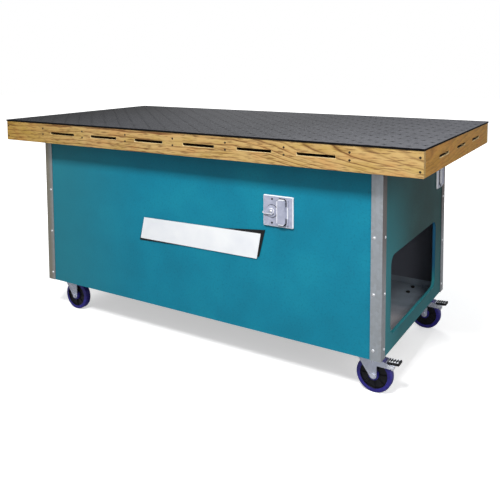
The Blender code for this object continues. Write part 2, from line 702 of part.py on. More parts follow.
# Floor pan: a tray inside the panels, drilled for the casters' bolts.
caster_x = 0.5 * CABINET_LENGTH - CASTER_FROM_END
caster_y = 0.5 * CABINET_WIDTH - CASTER_FROM_SIDE
caster_places = {"front_left": (-caster_x, -caster_y), "front_right": (caster_x, -caster_y),
                 "rear_right": (caster_x, caster_y), "rear_left": (-caster_x, caster_y)}
bolt_places = [(across * 0.5 * BOLT_SPACING_X, along * 0.5 * BOLT_SPACING_Y)
               for across in (-1, 1) for along in (-1, 1)]
floor_pan = part("floor_pan", boxes("floor_pan", (
    (-INSIDE_X, -INSIDE_Y, CABINET_BOTTOM), (INSIDE_X, INSIDE_Y, FLOOR_TOP + FLOOR_FLANGE))),
    DARK_PAINT)
cut(floor_pan, boxes("floor_tray", (
    (SHEET_THICKNESS - INSIDE_X, SHEET_THICKNESS - INSIDE_Y, FLOOR_TOP),
    (INSIDE_X - SHEET_THICKNESS, INSIDE_Y - SHEET_THICKNESS, FLOOR_TOP + FLOOR_FLANGE + CUT_OVERRUN))))
cut(floor_pan, rods("floor_holes", [
    (x + across, y + along, CABINET_BOTTOM) for x, y in caster_places.values()
    for across, along in bolt_places],
    BOLT_RADIUS + BOLT_HOLE_FIT, 2 * SHEET_THICKNESS + 2 * CUT_OVERRUN, BOLT_SIDES))

# Filter ledge: an angle frame round the inside of the walls, with a bar under each joint
# between two filters.
filter_frame = part("filter_frame", boxes("filter_frame", (
    (-INSIDE_X, -INSIDE_Y, LEDGE_TOP - SHEET_THICKNESS),
    (INSIDE_X, INSIDE_Y, LEDGE_TOP + LEDGE_UPSTAND))), GALVANISED)
tray_x = INSIDE_X - SHEET_THICKNESS
tray_y = INSIDE_Y - SHEET_THICKNESS
cut(filter_frame, boxes("ledge_tray", (
    (-tray_x, -tray_y, LEDGE_TOP), (tray_x, tray_y, LEDGE_TOP + LEDGE_UPSTAND + CUT_OVERRUN))))
filter_pitch = 2 * (tray_x - FIT_GAP) / FILTER_COUNT
filter_middles = [(number - 0.5 * (FILTER_COUNT - 1)) * filter_pitch
                  for number in range(FILTER_COUNT)]
cut(filter_frame, boxes("ledge_windows", *[(
    (middle - 0.5 * filter_pitch + LEDGE_WIDTH, LEDGE_WIDTH - tray_y,
     LEDGE_TOP - SHEET_THICKNESS - CUT_OVERRUN),
    (middle + 0.5 * filter_pitch - LEDGE_WIDTH, tray_y - LEDGE_WIDTH,
     LEDGE_TOP + CUT_OVERRUN)) for middle in filter_middles]))

# Panel filters: a stiff case round a sheet of paper folded up and down.
filter_half_x = 0.5 * filter_pitch - 0.5 * FIT_GAP
filter_half_y = tray_y - FIT_GAP
panel_filter = part("filter", boxes("filter", (
    (-filter_half_x, -filter_half_y, 0), (filter_half_x, filter_half_y, FILTER_DEPTH))),
    FILTER_MEDIA)
cut(panel_filter, boxes("filter_case", (
    (FILTER_CASE - filter_half_x, FILTER_CASE - filter_half_y, -CUT_OVERRUN),
    (filter_half_x - FILTER_CASE, filter_half_y - FILTER_CASE, FILTER_DEPTH + CUT_OVERRUN))))
fold_step = (filter_half_x - 0.5 * FILTER_CASE) / FILTER_PLEATS
fold_low = FILTER_PLEAT_MARGIN
fold_high = FILTER_DEPTH - FILTER_PLEAT_MARGIN - FILTER_PAPER
fold_tops = [((fold - FILTER_PLEATS) * fold_step, (fold_low, fold_high)[fold % 2])
             for fold in range(2 * FILTER_PLEATS + 1)]
folded_outline = fold_tops + [(x, z + FILTER_PAPER) for x, z in reversed(fold_tops)]
join(panel_filter, outline("folded_paper", folded_outline, 2 * filter_half_y - FILTER_CASE,
                           UPRIGHT_ALONG))
filter_mesh = finished_mesh(panel_filter)
for number, middle in enumerate(filter_middles):
    part(f"filter_{number + 1}", filter_mesh, FILTER_MEDIA, (middle, 0, LEDGE_TOP + FIT_GAP))

# Plenum deck: the sheet between the suction side and the exhaust side, with the blower's
# inlet and a hole for the motor's lead.
blower_x = BLOWER_FROM_LEFT - 0.5 * CABINET_LENGTH
lead_x = cover_x - LEAD_FROM_BOX_MIDDLE
lead_y = -(PANEL_FACE_Y - SHEET_THICKNESS - FIT_GAP - 0.5 * BOX_DEPTH)
plenum_deck = part("plenum_deck", boxes("plenum_deck", (
    (-INSIDE_X, -INSIDE_Y, DECK_BOTTOM), (INSIDE_X, INSIDE_Y, DECK_TOP + DECK_FLANGE))), DARK_PAINT)
cut(plenum_deck, boxes("deck_tray", (
    (-tray_x, -tray_y, DECK_TOP), (tray_x, tray_y, DECK_TOP + DECK_FLANGE + CUT_OVERRUN))))
cut(plenum_deck, rods("deck_inlet", [(blower_x, 0, DECK_TOP)], INLET_RADIUS,
                      2 * SHEET_THICKNESS + 2 * CUT_OVERRUN, INLET_RING_SEGMENTS))
cut(plenum_deck, rods("deck_lead_hole", [(lead_x, lead_y, DECK_TOP)], LEAD_RADIUS + LEAD_FIT,
                      2 * SHEET_THICKNESS + 2 * CUT_OVERRUN, LEAD_SEGMENTS))

# Blower housing: a flat scroll hung under the deck, which closes it from above, with its
# outlet towards the right-hand end.
housing_top = DECK_BOTTOM - FIT_GAP
housing_bottom = housing_top - SCROLL_HEIGHT
tongue = Vector((math.cos(math.radians(SCROLL_TONGUE_DEGREES)),
                 math.sin(math.radians(SCROLL_TONGUE_DEGREES)))) * SCROLL_LEAST_RADIUS


def scroll(inset, reach):
    """The scroll's outline, moved inwards by a wall."""
    points = []
    for step in range(SCROLL_STEPS + 1):
        share = step / SCROLL_STEPS
        angle = math.radians(SCROLL_TONGUE_DEGREES + share * (270 - SCROLL_TONGUE_DEGREES))
        radius = SCROLL_LEAST_RADIUS + share * (SCROLL_GREATEST_RADIUS - SCROLL_LEAST_RADIUS) - inset
        points.append((radius * math.cos(angle), radius * math.sin(angle)))
    points.append((reach, inset - SCROLL_GREATEST_RADIUS))
    points.append((reach, tongue.y - inset))
    points.append((tongue.x - 2 * inset, tongue.y - inset))
    return points if inset else points[:-1]


blower_housing = part("blower_housing", outline(
    "blower_housing", scroll(0, SCROLL_OUTLET_REACH), SCROLL_HEIGHT), GALVANISED,
    (blower_x, 0, 0.5 * (housing_top + housing_bottom)))
cut(blower_housing, outline("scroll_hollow", scroll(SCROLL_WALL, SCROLL_OUTLET_REACH + CUT_OVERRUN),
                            SCROLL_HEIGHT), (0, 0, SCROLL_WALL))
cut(blower_housing, rods("scroll_shaft_hole", [(0, 0, -0.5 * SCROLL_HEIGHT)],
                         HUB_RADIUS, 2 * SCROLL_WALL + 2 * CUT_OVERRUN, MOTOR_SEGMENTS))

# Blower wheel: a back plate with a hub and the shaft, and swept blades that stand on it. It
# turns on the motor's shaft.
wheel_bottom = housing_bottom + SCROLL_WALL + WHEEL_RUNNING_GAP
wheel_top = DECK_BOTTOM - WHEEL_RUNNING_GAP
blower_axis = guide("blower_axis", (blower_x, 0, wheel_bottom))
wheel_height = wheel_top - wheel_bottom
motor_top = housing_bottom - FIT_GAP
shaft_end = motor_top - SHAFT_IN_MOTOR - wheel_bottom
blower_wheel = part("blower_wheel", turned("blower_wheel", [
    (0, HUB_HEIGHT), (HUB_RADIUS, HUB_HEIGHT), (HUB_RADIUS, BACKPLATE_THICKNESS),
    (BLOWER_WHEEL_RADIUS, BACKPLATE_THICKNESS), (BLOWER_WHEEL_RADIUS, 0), (SHAFT_RADIUS, 0),
    (SHAFT_RADIUS, shaft_end), (0, shaft_end)], BLOWER_WHEEL_SEGMENTS), GALVANISED,
    parent=blower_axis)
blade_builder = bmesh.new()
blade_height = wheel_height - BLADE_SINK
for blade in range(BLADE_COUNT):
    blade_seat = Matrix.Rotation(2 * HALF_TURN * blade / BLADE_COUNT, 4, "Z")
    blade_seat = blade_seat @ Matrix.Translation((
        BLOWER_WHEEL_RADIUS - BLADE_INSET, 0, BLADE_SINK + 0.5 * blade_height))
    blade_seat = blade_seat @ Matrix.Rotation(math.radians(BLADE_SWEEP_DEGREES), 4, "Z")
    blade_size = (BLADE_LENGTH, BLADE_THICKNESS, blade_height)
    bmesh.ops.create_cube(blade_builder, size=1, matrix=blade_seat @ Matrix.Diagonal((*blade_size, 1)))
join(blower_wheel, mesh_from(blade_builder, "blades"))

# Motor: a flanged drum bolted under the housing, with a bore for the shaft.
shaft_bore = SHAFT_RADIUS + SHAFT_FIT
bore_end = motor_top - SHAFT_IN_MOTOR - SHAFT_FIT
part("blower_motor", turned("blower_motor", [
    (shaft_bore, motor_top), (MOTOR_FLANGE_RADIUS, motor_top),
    (MOTOR_FLANGE_RADIUS, motor_top - MOTOR_FLANGE_THICKNESS),
    (MOTOR_RADIUS, motor_top - MOTOR_FLANGE_THICKNESS),
    (MOTOR_RADIUS, MOTOR_BOTTOM + MOTOR_BELL_SHOULDER),
    (MOTOR_RADIUS - MOTOR_BELL_SHOULDER, MOTOR_BOTTOM), (0, MOTOR_BOTTOM),
    (0, bore_end), (shaft_bore, bore_end)], MOTOR_SEGMENTS), MOTOR_ENAMEL, (blower_x, 0, 0))

# The covers, lids and devices are modelled facing up, with Y towards their top edge, on the
# panel's outer face as the plane of zero height. Guides turn them to the front or the end.
front_face = guide("front_face", (cover_x, -PANEL_FACE_Y, cover_z))
front_face.rotation_euler = FACING_FRONT
end_face = guide("end_face", (PANEL_FACE_X, inlet_y, inlet_z))
end_face.rotation_euler = FACING_END
plate_top = FIT_GAP + COVER_THICKNESS
hinge_height = plate_top + FIT_GAP + LID_HINGE_RADIUS
knuckle_half = 0.5 * LID_HEIGHT * LID_KNUCKLE_SHARE
knuckle_end = 0.5 * LID_HEIGHT
knuckle_side = 0.5 * (knuckle_end - knuckle_half - FIT_GAP)


def cover_plate(name, width, height, hinge_x, parent):
    """A cast cover plate with two hinge knuckles, drilled for the hinge pin."""
    plate = part(name, boxes(name, (
        (-0.5 * width, -0.5 * height, FIT_GAP), (0.5 * width, 0.5 * height, plate_top))),
        CAST_GREY, parent=parent)
    bevel = plate.modifiers.new("worn_edge", "BEVEL")
    bevel.width = COVER_EDGE
    bevel.segments = 1
    knuckle_middle = knuckle_end - knuckle_side
    foot_half = HINGE_FOOT_SHARE * LID_HINGE_RADIUS
    join(plate, boxes(name + "_hinge_feet", *[(
        (hinge_x - foot_half, side * knuckle_middle - knuckle_side, plate_top - COVER_EDGE),
        (hinge_x + foot_half, side * knuckle_middle + knuckle_side, hinge_height))
        for side in (-1, 1)]))
    join(plate, rods(name + "_knuckles", [
        (hinge_x, side * knuckle_middle, hinge_height) for side in (-1, 1)],
        LID_HINGE_RADIUS, 2 * knuckle_side - 2 * KNUCKLE_FACE_STEP, LID_HINGE_SEGMENTS, "Y"))
    cut(plate, rods(name + "_pin_bore", [(hinge_x, 0, hinge_height)],
                    HINGE_PIN_RADIUS + HINGE_PIN_FIT, LID_HEIGHT + 2 * CUT_OVERRUN,
                    LID_HINGE_SEGMENTS, "Y"))
    return plate


def flip_lid(name, hinge_x, parent):
    """A hollow lid with its knuckle and pin, on an empty on the hinge's axis."""
    axis = guide(name + "_axis", (hinge_x, 0, hinge_height), parent)
    right = -LID_HINGE_OFFSET
    left = right - LID_WIDTH
    low = plate_top + FIT_GAP - hinge_height
    high = low + LID_DEPTH
    end = 0.5 * LID_HEIGHT
    clipped = [(right, LID_CHAMFER - end), (right, end - LID_CHAMFER), (right - LID_CHAMFER, end),
               (left + LID_CHAMFER, end), (left, end - LID_CHAMFER), (left, LID_CHAMFER - end),
               (left + LID_CHAMFER, -end), (right - LID_CHAMFER, -end)]
    lid = part(name, outline(name, clipped, LID_DEPTH, Matrix.Translation((0, 0, 0.5 * (low + high)))),
               CAST_GREY, parent=axis)
    rim = LID_WALL + LID_CHAMFER
    cut(lid, boxes(name + "_hollow", (
        (left + LID_WALL, rim - end, low - CUT_OVERRUN), (right - LID_WALL, end - rim, high - LID_WALL))))
    join(lid, boxes(name + "_leaf", (
        (right - 0.5 * LID_WALL, -knuckle_half, 0), (0, knuckle_half, LID_WALL))))
    join(lid, rods(name + "_knuckle", [(0, 0, 0)], LID_HINGE_RADIUS, 2 * knuckle_half,
                   LID_HINGE_SEGMENTS, "Y"))
    join(lid, rods(name + "_pin", [(0, 0, 0)], HINGE_PIN_RADIUS, LID_HEIGHT, LID_HINGE_SEGMENTS, "Y"))
    return lid


# Two-gang cover on the front: a plate with the switch's round boss and the receptacle's
# window.
lid_hinge_x = LID_WIDTH + LID_HINGE_OFFSET
front_cover_plate = cover_plate("front_cover_plate", COVER_WIDTH, COVER_HEIGHT, lid_hinge_x, front_face)
join(front_cover_plate, rods("switch_boss", [(-SWITCH_OFFSET, 0, plate_top)],
                             BOSS_RADIUS, 2 * BOSS_HEIGHT, BOSS_SEGMENTS))
lever_bore = LEVER_PIN_RADIUS + LEVER_PIN_FIT
cut(front_cover_plate, rods("switch_bore", [(-SWITCH_OFFSET, 0, 0)], lever_bore,
                            2 * (plate_top + BOSS_HEIGHT + CUT_OVERRUN), LID_HINGE_SEGMENTS))
cut(front_cover_plate, boxes("receptacle_window", (
    (RECEPTACLE_OFFSET - 0.5 * WINDOW_WIDTH, -0.5 * WINDOW_HEIGHT, -CUT_OVERRUN),
    (RECEPTACLE_OFFSET + 0.5 * WINDOW_WIDTH, 0.5 * WINDOW_HEIGHT, plate_top + CUT_OVERRUN))))
flip_lid("outlet_lid", lid_hinge_x, front_face)

# Switch lever: a tapered arm on a hub, whose pin goes through the boss into the switch.
lever_seat = plate_top + BOSS_HEIGHT + FIT_GAP
lever_axis = guide("lever_axis", (-SWITCH_OFFSET, 0, lever_seat), front_face)
lever_tip_x = LEVER_REACH - LEVER_TIP_RADIUS
lever_tip_centre = (-lever_tip_x * math.cos(math.radians(LEVER_DROOP_DEGREES)),
                    -lever_tip_x * math.sin(math.radians(LEVER_DROOP_DEGREES)))
lever_turn = 180 + LEVER_DROOP_DEGREES
lever_outline = arc((0, 0), LEVER_HUB_RADIUS, lever_turn - 270, lever_turn - 90, LEVER_STEPS)
lever_outline += arc(lever_tip_centre, LEVER_TIP_RADIUS, lever_turn - 90, lever_turn + 90, LEVER_STEPS)
switch_lever = part("switch_lever", outline(
    "switch_lever", lever_outline, LEVER_THICKNESS,
    Matrix.Translation((0, 0, 0.5 * LEVER_THICKNESS))), CAST_GREY, parent=lever_axis)
pin_end = -lever_seat - LEVER_PIN_IN_SWITCH
join(switch_lever, rods("lever_pin", [(0, 0, 0.5 * (pin_end + 0.5 * LEVER_THICKNESS))],
                        LEVER_PIN_RADIUS, 0.5 * LEVER_THICKNESS - pin_end, LID_HINGE_SEGMENTS))

# Electrical box behind the front panel, open to the front, with a hole for the conduit and
# one for the motor's lead.
box_front = -SHEET_THICKNESS - FIT_GAP
box_half_x = 0.5 * box_inside_width + BOX_WALL
box_half_y = 0.5 * box_inside_height + BOX_WALL
front_box = part("front_box", boxes("front_box", (
    (-box_half_x, -box_half_y, box_front - BOX_DEPTH), (box_half_x, box_half_y, box_front))),
    GALVANISED, parent=front_face)
cut(front_box, boxes("box_inside", (
    (-0.5 * box_inside_width, -0.5 * box_inside_height, box_front - BOX_DEPTH + BOX_WALL),
    (0.5 * box_inside_width, 0.5 * box_inside_height, box_front + CUT_OVERRUN))))

# Receptacle and switch: bodies on metal straps behind the cover.
strap_half_y = 0.5 * box_inside_height - STRAP_END_GAP
device_face = plate_top - RECEPTACLE_RECESS
duplex_receptacle = part("duplex_receptacle", boxes("duplex_receptacle", (
    (-0.5 * DEVICE_WIDTH, -0.5 * DEVICE_HEIGHT, -DEVICE_DEPTH),
    (0.5 * DEVICE_WIDTH, 0.5 * DEVICE_HEIGHT, 0))),
    IVORY_PLASTIC, (RECEPTACLE_OFFSET, 0, 0), parent=front_face)
join(duplex_receptacle, boxes("receptacle_strap", (
    (-0.5 * STRAP_WIDTH, -strap_half_y, -STRAP_THICKNESS), (0.5 * STRAP_WIDTH, strap_half_y, 0))))
face_half_x = 0.5 * WINDOW_WIDTH - FIT_GAP
face_half_y = 0.5 * WINDOW_HEIGHT - FIT_GAP
join(duplex_receptacle, boxes("receptacle_face", (
    (-face_half_x, -face_half_y, -STRAP_THICKNESS), (face_half_x, face_half_y, device_face))))
socket_middles = (-0.5 * SOCKET_SPACING, 0.5 * SOCKET_SPACING)
cut(duplex_receptacle, boxes("blade_slots", *[(
    (side * 0.5 * BLADE_SPACING - 0.5 * BLADE_SLOT_WIDTH, middle - 0.5 * BLADE_SLOT_HEIGHT,
     device_face - BLADE_SLOT_DEPTH),
    (side * 0.5 * BLADE_SPACING + 0.5 * BLADE_SLOT_WIDTH, middle + 0.5 * BLADE_SLOT_HEIGHT,
     device_face + CUT_OVERRUN)) for side in (-1, 1) for middle in socket_middles]))
cut(duplex_receptacle, rods("ground_holes", [
    (0, middle - GROUND_HOLE_DROP, device_face) for middle in socket_middles],
    GROUND_HOLE_RADIUS, 2 * BLADE_SLOT_DEPTH, LEAD_SEGMENTS))
toggle_switch = part("toggle_switch", boxes("toggle_switch", (
    (-0.5 * DEVICE_WIDTH, -0.5 * DEVICE_HEIGHT, -DEVICE_DEPTH),
    (0.5 * DEVICE_WIDTH, 0.5 * DEVICE_HEIGHT, 0))),
    BLACK_PLASTIC, (-SWITCH_OFFSET, 0, 0), parent=front_face)
join(toggle_switch, boxes("switch_strap", (
    (-0.5 * STRAP_WIDTH, -strap_half_y, -STRAP_THICKNESS), (0.5 * STRAP_WIDTH, strap_half_y, 0))))
cut(toggle_switch, rods("switch_socket", [(0, 0, 0)], lever_bore,
                        2 * (LEVER_PIN_IN_SWITCH + LEVER_PIN_FIT), LID_HINGE_SEGMENTS))

# One-gang cover on the right-hand end: a plate round the power inlet and its flip lid.
end_hinge_x = 0.5 * LID_WIDTH + LID_HINGE_OFFSET
end_cover_plate = cover_plate("end_cover_plate", END_COVER_WIDTH, END_COVER_HEIGHT, end_hinge_x, end_face)
cut(end_cover_plate, rods("inlet_window", [(0, 0, 0)], INLET_BODY_RADIUS + INLET_FIT,
                          2 * (plate_top + CUT_OVERRUN), INLET_SEGMENTS))
flip_lid("end_lid", end_hinge_x, end_face)

# Power inlet: a round recessed inlet with three pins, for a supply cord's connector.
inlet_face = plate_top - RECEPTACLE_RECESS
inlet_back = inlet_face - INLET_DEPTH
power_inlet = part("power_inlet", turned("power_inlet", [
    (INLET_RECESS_RADIUS, inlet_face), (INLET_BODY_RADIUS, inlet_face),
    (INLET_BODY_RADIUS, inlet_back), (0, inlet_back),
    (0, inlet_face - INLET_RECESS_DEPTH), (INLET_RECESS_RADIUS, inlet_face - INLET_RECESS_DEPTH)],
    INLET_SEGMENTS), BLACK_PLASTIC, parent=end_face)
pin_base = inlet_face - INLET_RECESS_DEPTH
pin_builder = bmesh.new()
for pin in range(INLET_PIN_COUNT):
    pin_seat = Matrix.Rotation(2 * HALF_TURN * pin / INLET_PIN_COUNT, 4, "Z")
    pin_seat = pin_seat @ Matrix.Translation((0, INLET_PIN_CIRCLE, pin_base + 0.5 * INLET_PIN_LENGTH))
    pin_size = (INLET_PIN_WIDTH, INLET_PIN_THICKNESS, INLET_PIN_LENGTH + 2 * INLET_PIN_ROOT)
    bmesh.ops.create_cube(pin_builder, size=1, matrix=pin_seat @ Matrix.Diagonal((*pin_size, 1)))
join(power_inlet, mesh_from(pin_builder, "inlet_pins"))

# Supply conduit, from the back of the power inlet to the side of the box, and the motor's
# lead, from the bottom of the box through the deck to the side of the motor.
conduit_end = cover_x + box_half_x + FIT_GAP
conduit_turn = conduit_end + CONDUIT_RUN
part("supply_conduit", tube("supply_conduit", [
    (PANEL_FACE_X + inlet_back - FIT_GAP, inlet_y, inlet_z), (conduit_turn, inlet_y, inlet_z),
    (conduit_turn, lead_y, cover_z), (conduit_end, lead_y, cover_z)],
    CONDUIT_RADIUS, CONDUIT_BEND, BEND_STEPS), GALVANISED)
lead_level = MOTOR_BOTTOM + LEAD_RISE
motor_side = blower_x + MOTOR_RADIUS + FIT_GAP
part("motor_lead", tube("motor_lead", [
    (lead_x, lead_y, cover_z - box_half_y - FIT_GAP), (lead_x, lead_y, lead_level),
    (motor_side + LEAD_RUN, 0, lead_level), (motor_side, 0, lead_level)],
    LEAD_RADIUS, LEAD_BEND, BEND_STEPS), BLACK_PLASTIC)

# Sign: a bare board on the front panel, hung a little askew, with a raised white face.
sign_left = SIGN_FROM_LEFT - 0.5 * CABINET_LENGTH
sign_bottom = CABINET_BOTTOM + SIGN_LEVEL_SHARE * PANEL_HEIGHT
board_shares = ((0, 0), (0.957, 0.157), (1, 1), (0.0335, 0.54))
face_shares = ((0.01, 0.068), (0.942, 0.0885), (0.971, 0.871), (0.0445, 0.792))
board_outline = [(across * SIGN_LENGTH, up * SIGN_HEIGHT) for across, up in board_shares]
face_outline = [(across * SIGN_LENGTH, up * SIGN_HEIGHT) for across, up in face_shares]
sign_plate = part("sign_plate", outline("sign_plate", board_outline, SIGN_BOARD, UPRIGHT_ALONG),
                  SIGN_WHITE, (sign_left, -PANEL_FACE_Y - FIT_GAP - 0.5 * SIGN_BOARD, sign_bottom))
join(sign_plate, outline("sign_face", face_outline, SIGN_FACE + 0.5 * SIGN_BOARD, UPRIGHT_ALONG),
     (0, -0.25 * SIGN_BOARD - 0.5 * SIGN_FACE, 0))

# Caster plate: bolted up to the floor pan, with the raceway, the kingpin and its nut below,
# and the bolts' nuts above the floor.
plate_middle = CASTER_PLATE_BOTTOM + 0.5 * CASTER_PLATE_THICKNESS
caster_plate = part("caster_plate", outline("caster_plate", rounded_rectangle(
    -0.5 * CASTER_PLATE_LENGTH, 0.5 * CASTER_PLATE_LENGTH, -0.5 * CASTER_PLATE_WIDTH,
    0.5 * CASTER_PLATE_WIDTH, CASTER_PLATE_CORNER, PLATE_CORNER_STEPS), CASTER_PLATE_THICKNESS,
    Matrix.Translation((0, 0, plate_middle))), ZINC)


def upright_rods(name, places, radius, low, high, sides):
    """Upright rods in one mesh, between two levels."""
    centres = [(x, y, 0.5 * (low + high)) for x, y in places]
    return rods(name, centres, radius, high - low, sides)


join(caster_plate, upright_rods("raceway", [(0, 0)], RACE_RADIUS, RACE_BOTTOM, plate_middle,
                                CROWN_SEGMENTS))
join(caster_plate, upright_rods("kingpin", [(0, 0)], KINGPIN_RADIUS, KINGPIN_BOTTOM, plate_middle,
                                KINGPIN_SEGMENTS))
join(caster_plate, upright_rods("kingpin_nut", [(0, 0)], KINGPIN_NUT_RADIUS, KINGPIN_BOTTOM,
                                KINGPIN_BOTTOM + KINGPIN_NUT, BOLT_SIDES))
join(caster_plate, upright_rods("bolts", bolt_places, BOLT_RADIUS, plate_middle,
                                FLOOR_TOP + 2 * FIT_GAP, BOLT_SIDES))
join(caster_plate, upright_rods("bolt_nuts", bolt_places, BOLT_NUT_RADIUS, FLOOR_TOP + FIT_GAP,
                                FLOOR_TOP + FIT_GAP + BOLT_NUT_HEIGHT, BOLT_SIDES))
caster_plate_mesh = finished_mesh(caster_plate)

# Caster fork: a pressed crown with two legs that trail to the axle. The right-hand forks
# have wings that carry a brake pedal.
leg_middle = 0.5 * HUB_WIDTH + FORK_SIDE_GAP + 0.5 * FORK_LEG_THICKNESS
leg_outside = leg_middle + 0.5 * FORK_LEG_THICKNESS
leg_top = CROWN_BOTTOM + 0.5 * CROWN_THICKNESS
shoulder_z = CROWN_BOTTOM - FORK_SHOULDER
to_shoulder = Vector((-FORK_TOP_HALF - CASTER_TRAIL, shoulder_z - WHEEL_RADIUS))
tangent_angle = math.degrees(math.atan2(to_shoulder.y, to_shoulder.x)
                             + math.acos(FORK_BOSS_RADIUS / to_shoulder.length))
leg_outline = [(FORK_TOP_HALF, leg_top), (-FORK_TOP_HALF, leg_top), (-FORK_TOP_HALF, shoulder_z)]
leg_outline += arc((CASTER_TRAIL, WHEEL_RADIUS), FORK_BOSS_RADIUS, tangent_angle, 360, FORK_BOSS_STEPS)
leg_outline += [(FORK_TOP_HALF, CROWN_BOTTOM - FORK_WAIST_DROP)]
wing_outline = [(WING_HEEL_REACH, WHEEL_DIAMETER - WING_HEEL_DROP),
                (WING_TIP_REACH, WHEEL_DIAMETER - WING_TIP_LOW_DROP),
                (WING_TIP_REACH, WHEEL_DIAMETER - WING_TIP_TOP_DROP),
                (WING_BROW_REACH, WHEEL_DIAMETER - WING_BROW_DROP),
                (FORK_TOP_HALF, WHEEL_DIAMETER - WING_ROOT_DROP)]
pivot_z = WHEEL_DIAMETER - PEDAL_PIVOT_DROP


def fork_mesh(name, braked):
    """A caster's fork, upright at its rest trail, on its swivel axis."""
    fork = part(name, upright_rods(name, [(0, 0)], CROWN_RADIUS, CROWN_BOTTOM, CROWN_TOP,
                                   CROWN_SEGMENTS), ZINC)
    join(fork, boxes(name + "_web", ((-FORK_TOP_HALF, -leg_outside, CROWN_BOTTOM),
                                     (FORK_TOP_HALF, leg_outside, CROWN_TOP))))
    for side in (-1, 1):
        join(fork, outline(name + "_leg", leg_outline + (wing_outline if braked else []),
                           FORK_LEG_THICKNESS, UPRIGHT_ALONG), (0, side * leg_middle, 0))
    cut(fork, upright_rods(name + "_kingpin_hole", [(0, 0)], KINGPIN_RADIUS + SWIVEL_GAP,
                           CROWN_BOTTOM - CUT_OVERRUN, CROWN_TOP + CUT_OVERRUN, KINGPIN_SEGMENTS))
    cut(fork, rods(name + "_axle_hole", [(CASTER_TRAIL, 0, WHEEL_RADIUS)],
                   AXLE_RADIUS + AXLE_RUNNING_GAP, 2 * leg_outside + 2 * CUT_OVERRUN,
                   AXLE_SEGMENTS, "Y"))
    if braked:
        cut(fork, rods(name + "_pivot_hole", [(PEDAL_PIVOT_REACH, 0, pivot_z)],
                       PEDAL_PIN_RADIUS + PEDAL_PIN_FIT, 2 * leg_outside + 2 * CUT_OVERRUN,
                       PEDAL_PIN_SEGMENTS, "Y"))
    return finished_mesh(fork)


plain_fork_mesh = fork_mesh("plain_fork", False)
braked_fork_mesh = fork_mesh("braked_fork", True)

# Caster wheel: a polyurethane tread on a core with a wide hub and a running bore. One of
# its facets lies on the floor.
tread_radius = WHEEL_RADIUS / math.cos(HALF_TURN / WHEEL_SEGMENTS)
core_radius = tread_radius - TREAD_THICKNESS
wheel_bore = AXLE_RADIUS + AXLE_RUNNING_GAP
near_half = [(wheel_bore, 0.5 * HUB_WIDTH), (CASTER_HUB_RADIUS, 0.5 * HUB_WIDTH),
             (CASTER_HUB_RADIUS, 0.5 * CORE_WEB), (core_radius, 0.5 * CORE_WEB),
             (core_radius, 0.5 * TREAD_WIDTH), (tread_radius - TREAD_SHOULDER, 0.5 * TREAD_WIDTH),
             (tread_radius, 0.5 * TREAD_WIDTH - TREAD_SHOULDER)]
wheel_mesh = turned("caster_wheel", near_half + [(radius, -height) for radius, height
                                                 in reversed(near_half)],
                    WHEEL_SEGMENTS, HALF_TURN / WHEEL_SEGMENTS)
wheel_mesh.transform(UPRIGHT_ALONG)

# Axle bolt: a shank through fork and hub, with a hexagon at each end.
axle_half = leg_outside + FIT_GAP + 0.5 * AXLE_HEAD_HEIGHT
axle_bolt = part("axle_bolt", rods("axle_bolt", [(0, 0, 0)], AXLE_RADIUS, 2 * axle_half,
                                   AXLE_SEGMENTS, "Y"), ZINC)
join(axle_bolt, rods("axle_heads", [(0, -axle_half, 0), (0, axle_half, 0)], AXLE_HEAD_RADIUS,
                     AXLE_HEAD_HEIGHT, BOLT_SIDES, "Y"))
axle_mesh = finished_mesh(axle_bolt)

# Brake pedal: a sloping tread plate with skirts, its pivot pin through the fork's wings, and
# a shoe that closes on the wheel as the pedal is pressed.
pedal_start_z = WHEEL_DIAMETER - PEDAL_START_DROP
pedal_end_z = WHEEL_DIAMETER - PEDAL_END_DROP
pedal_slope = (pedal_end_z - pedal_start_z) / (PEDAL_REACH - PEDAL_START)


def pedal_top(reach):
    """The height of the pedal's upper face at a reach from the swivel axis."""
    return pedal_start_z + (reach - PEDAL_START) * pedal_slope


pedal = part("pedal", outline("pedal", [
    (PEDAL_START, pedal_start_z), (PEDAL_START, pedal_start_z - PEDAL_THICKNESS),
    (PEDAL_REACH, pedal_end_z - PEDAL_THICKNESS), (PEDAL_REACH, pedal_end_z)],
    PEDAL_WIDTH, UPRIGHT_ALONG), ZINC)
skirt_outline = [
    (PEDAL_SKIRT_START, pedal_top(PEDAL_SKIRT_START) - 0.5 * PEDAL_THICKNESS),
    (PEDAL_SKIRT_START, pedal_top(PEDAL_SKIRT_START) - PEDAL_THICKNESS - PEDAL_SKIRT),
    (PEDAL_SHOE_FACE, pedal_top(PEDAL_SHOE_FACE) - PEDAL_THICKNESS - PEDAL_SKIRT),
    (PEDAL_REACH, pedal_end_z - PEDAL_THICKNESS - PEDAL_TOE_SKIRT),
    (PEDAL_REACH, pedal_end_z - 0.5 * PEDAL_THICKNESS)]
for side in (-1, 1):
    join(pedal, outline("pedal_skirt", skirt_outline, PEDAL_SKIRT_THICKNESS, UPRIGHT_ALONG),
         (0, side * 0.5 * (PEDAL_WIDTH - PEDAL_SKIRT_THICKNESS), 0))
shoe_middle = PEDAL_SHOE_FACE + 0.5 * PEDAL_SHOE_LENGTH
join(pedal, boxes("pedal_shoe", (
    (PEDAL_SHOE_FACE, -0.5 * PEDAL_SHOE_WIDTH, pivot_z - PEDAL_SHOE_DROP),
    (PEDAL_SHOE_FACE + PEDAL_SHOE_LENGTH, 0.5 * PEDAL_SHOE_WIDTH,
     pedal_top(shoe_middle) - 0.5 * PEDAL_THICKNESS))))
join(pedal, rods("pedal_pin", [(PEDAL_PIVOT_REACH, 0, pivot_z)], PEDAL_PIN_RADIUS,
                 2 * leg_outside + 2 * PEDAL_PIN_END, PEDAL_PIN_SEGMENTS, "Y"))
pedal_mesh = finished_mesh(pedal)
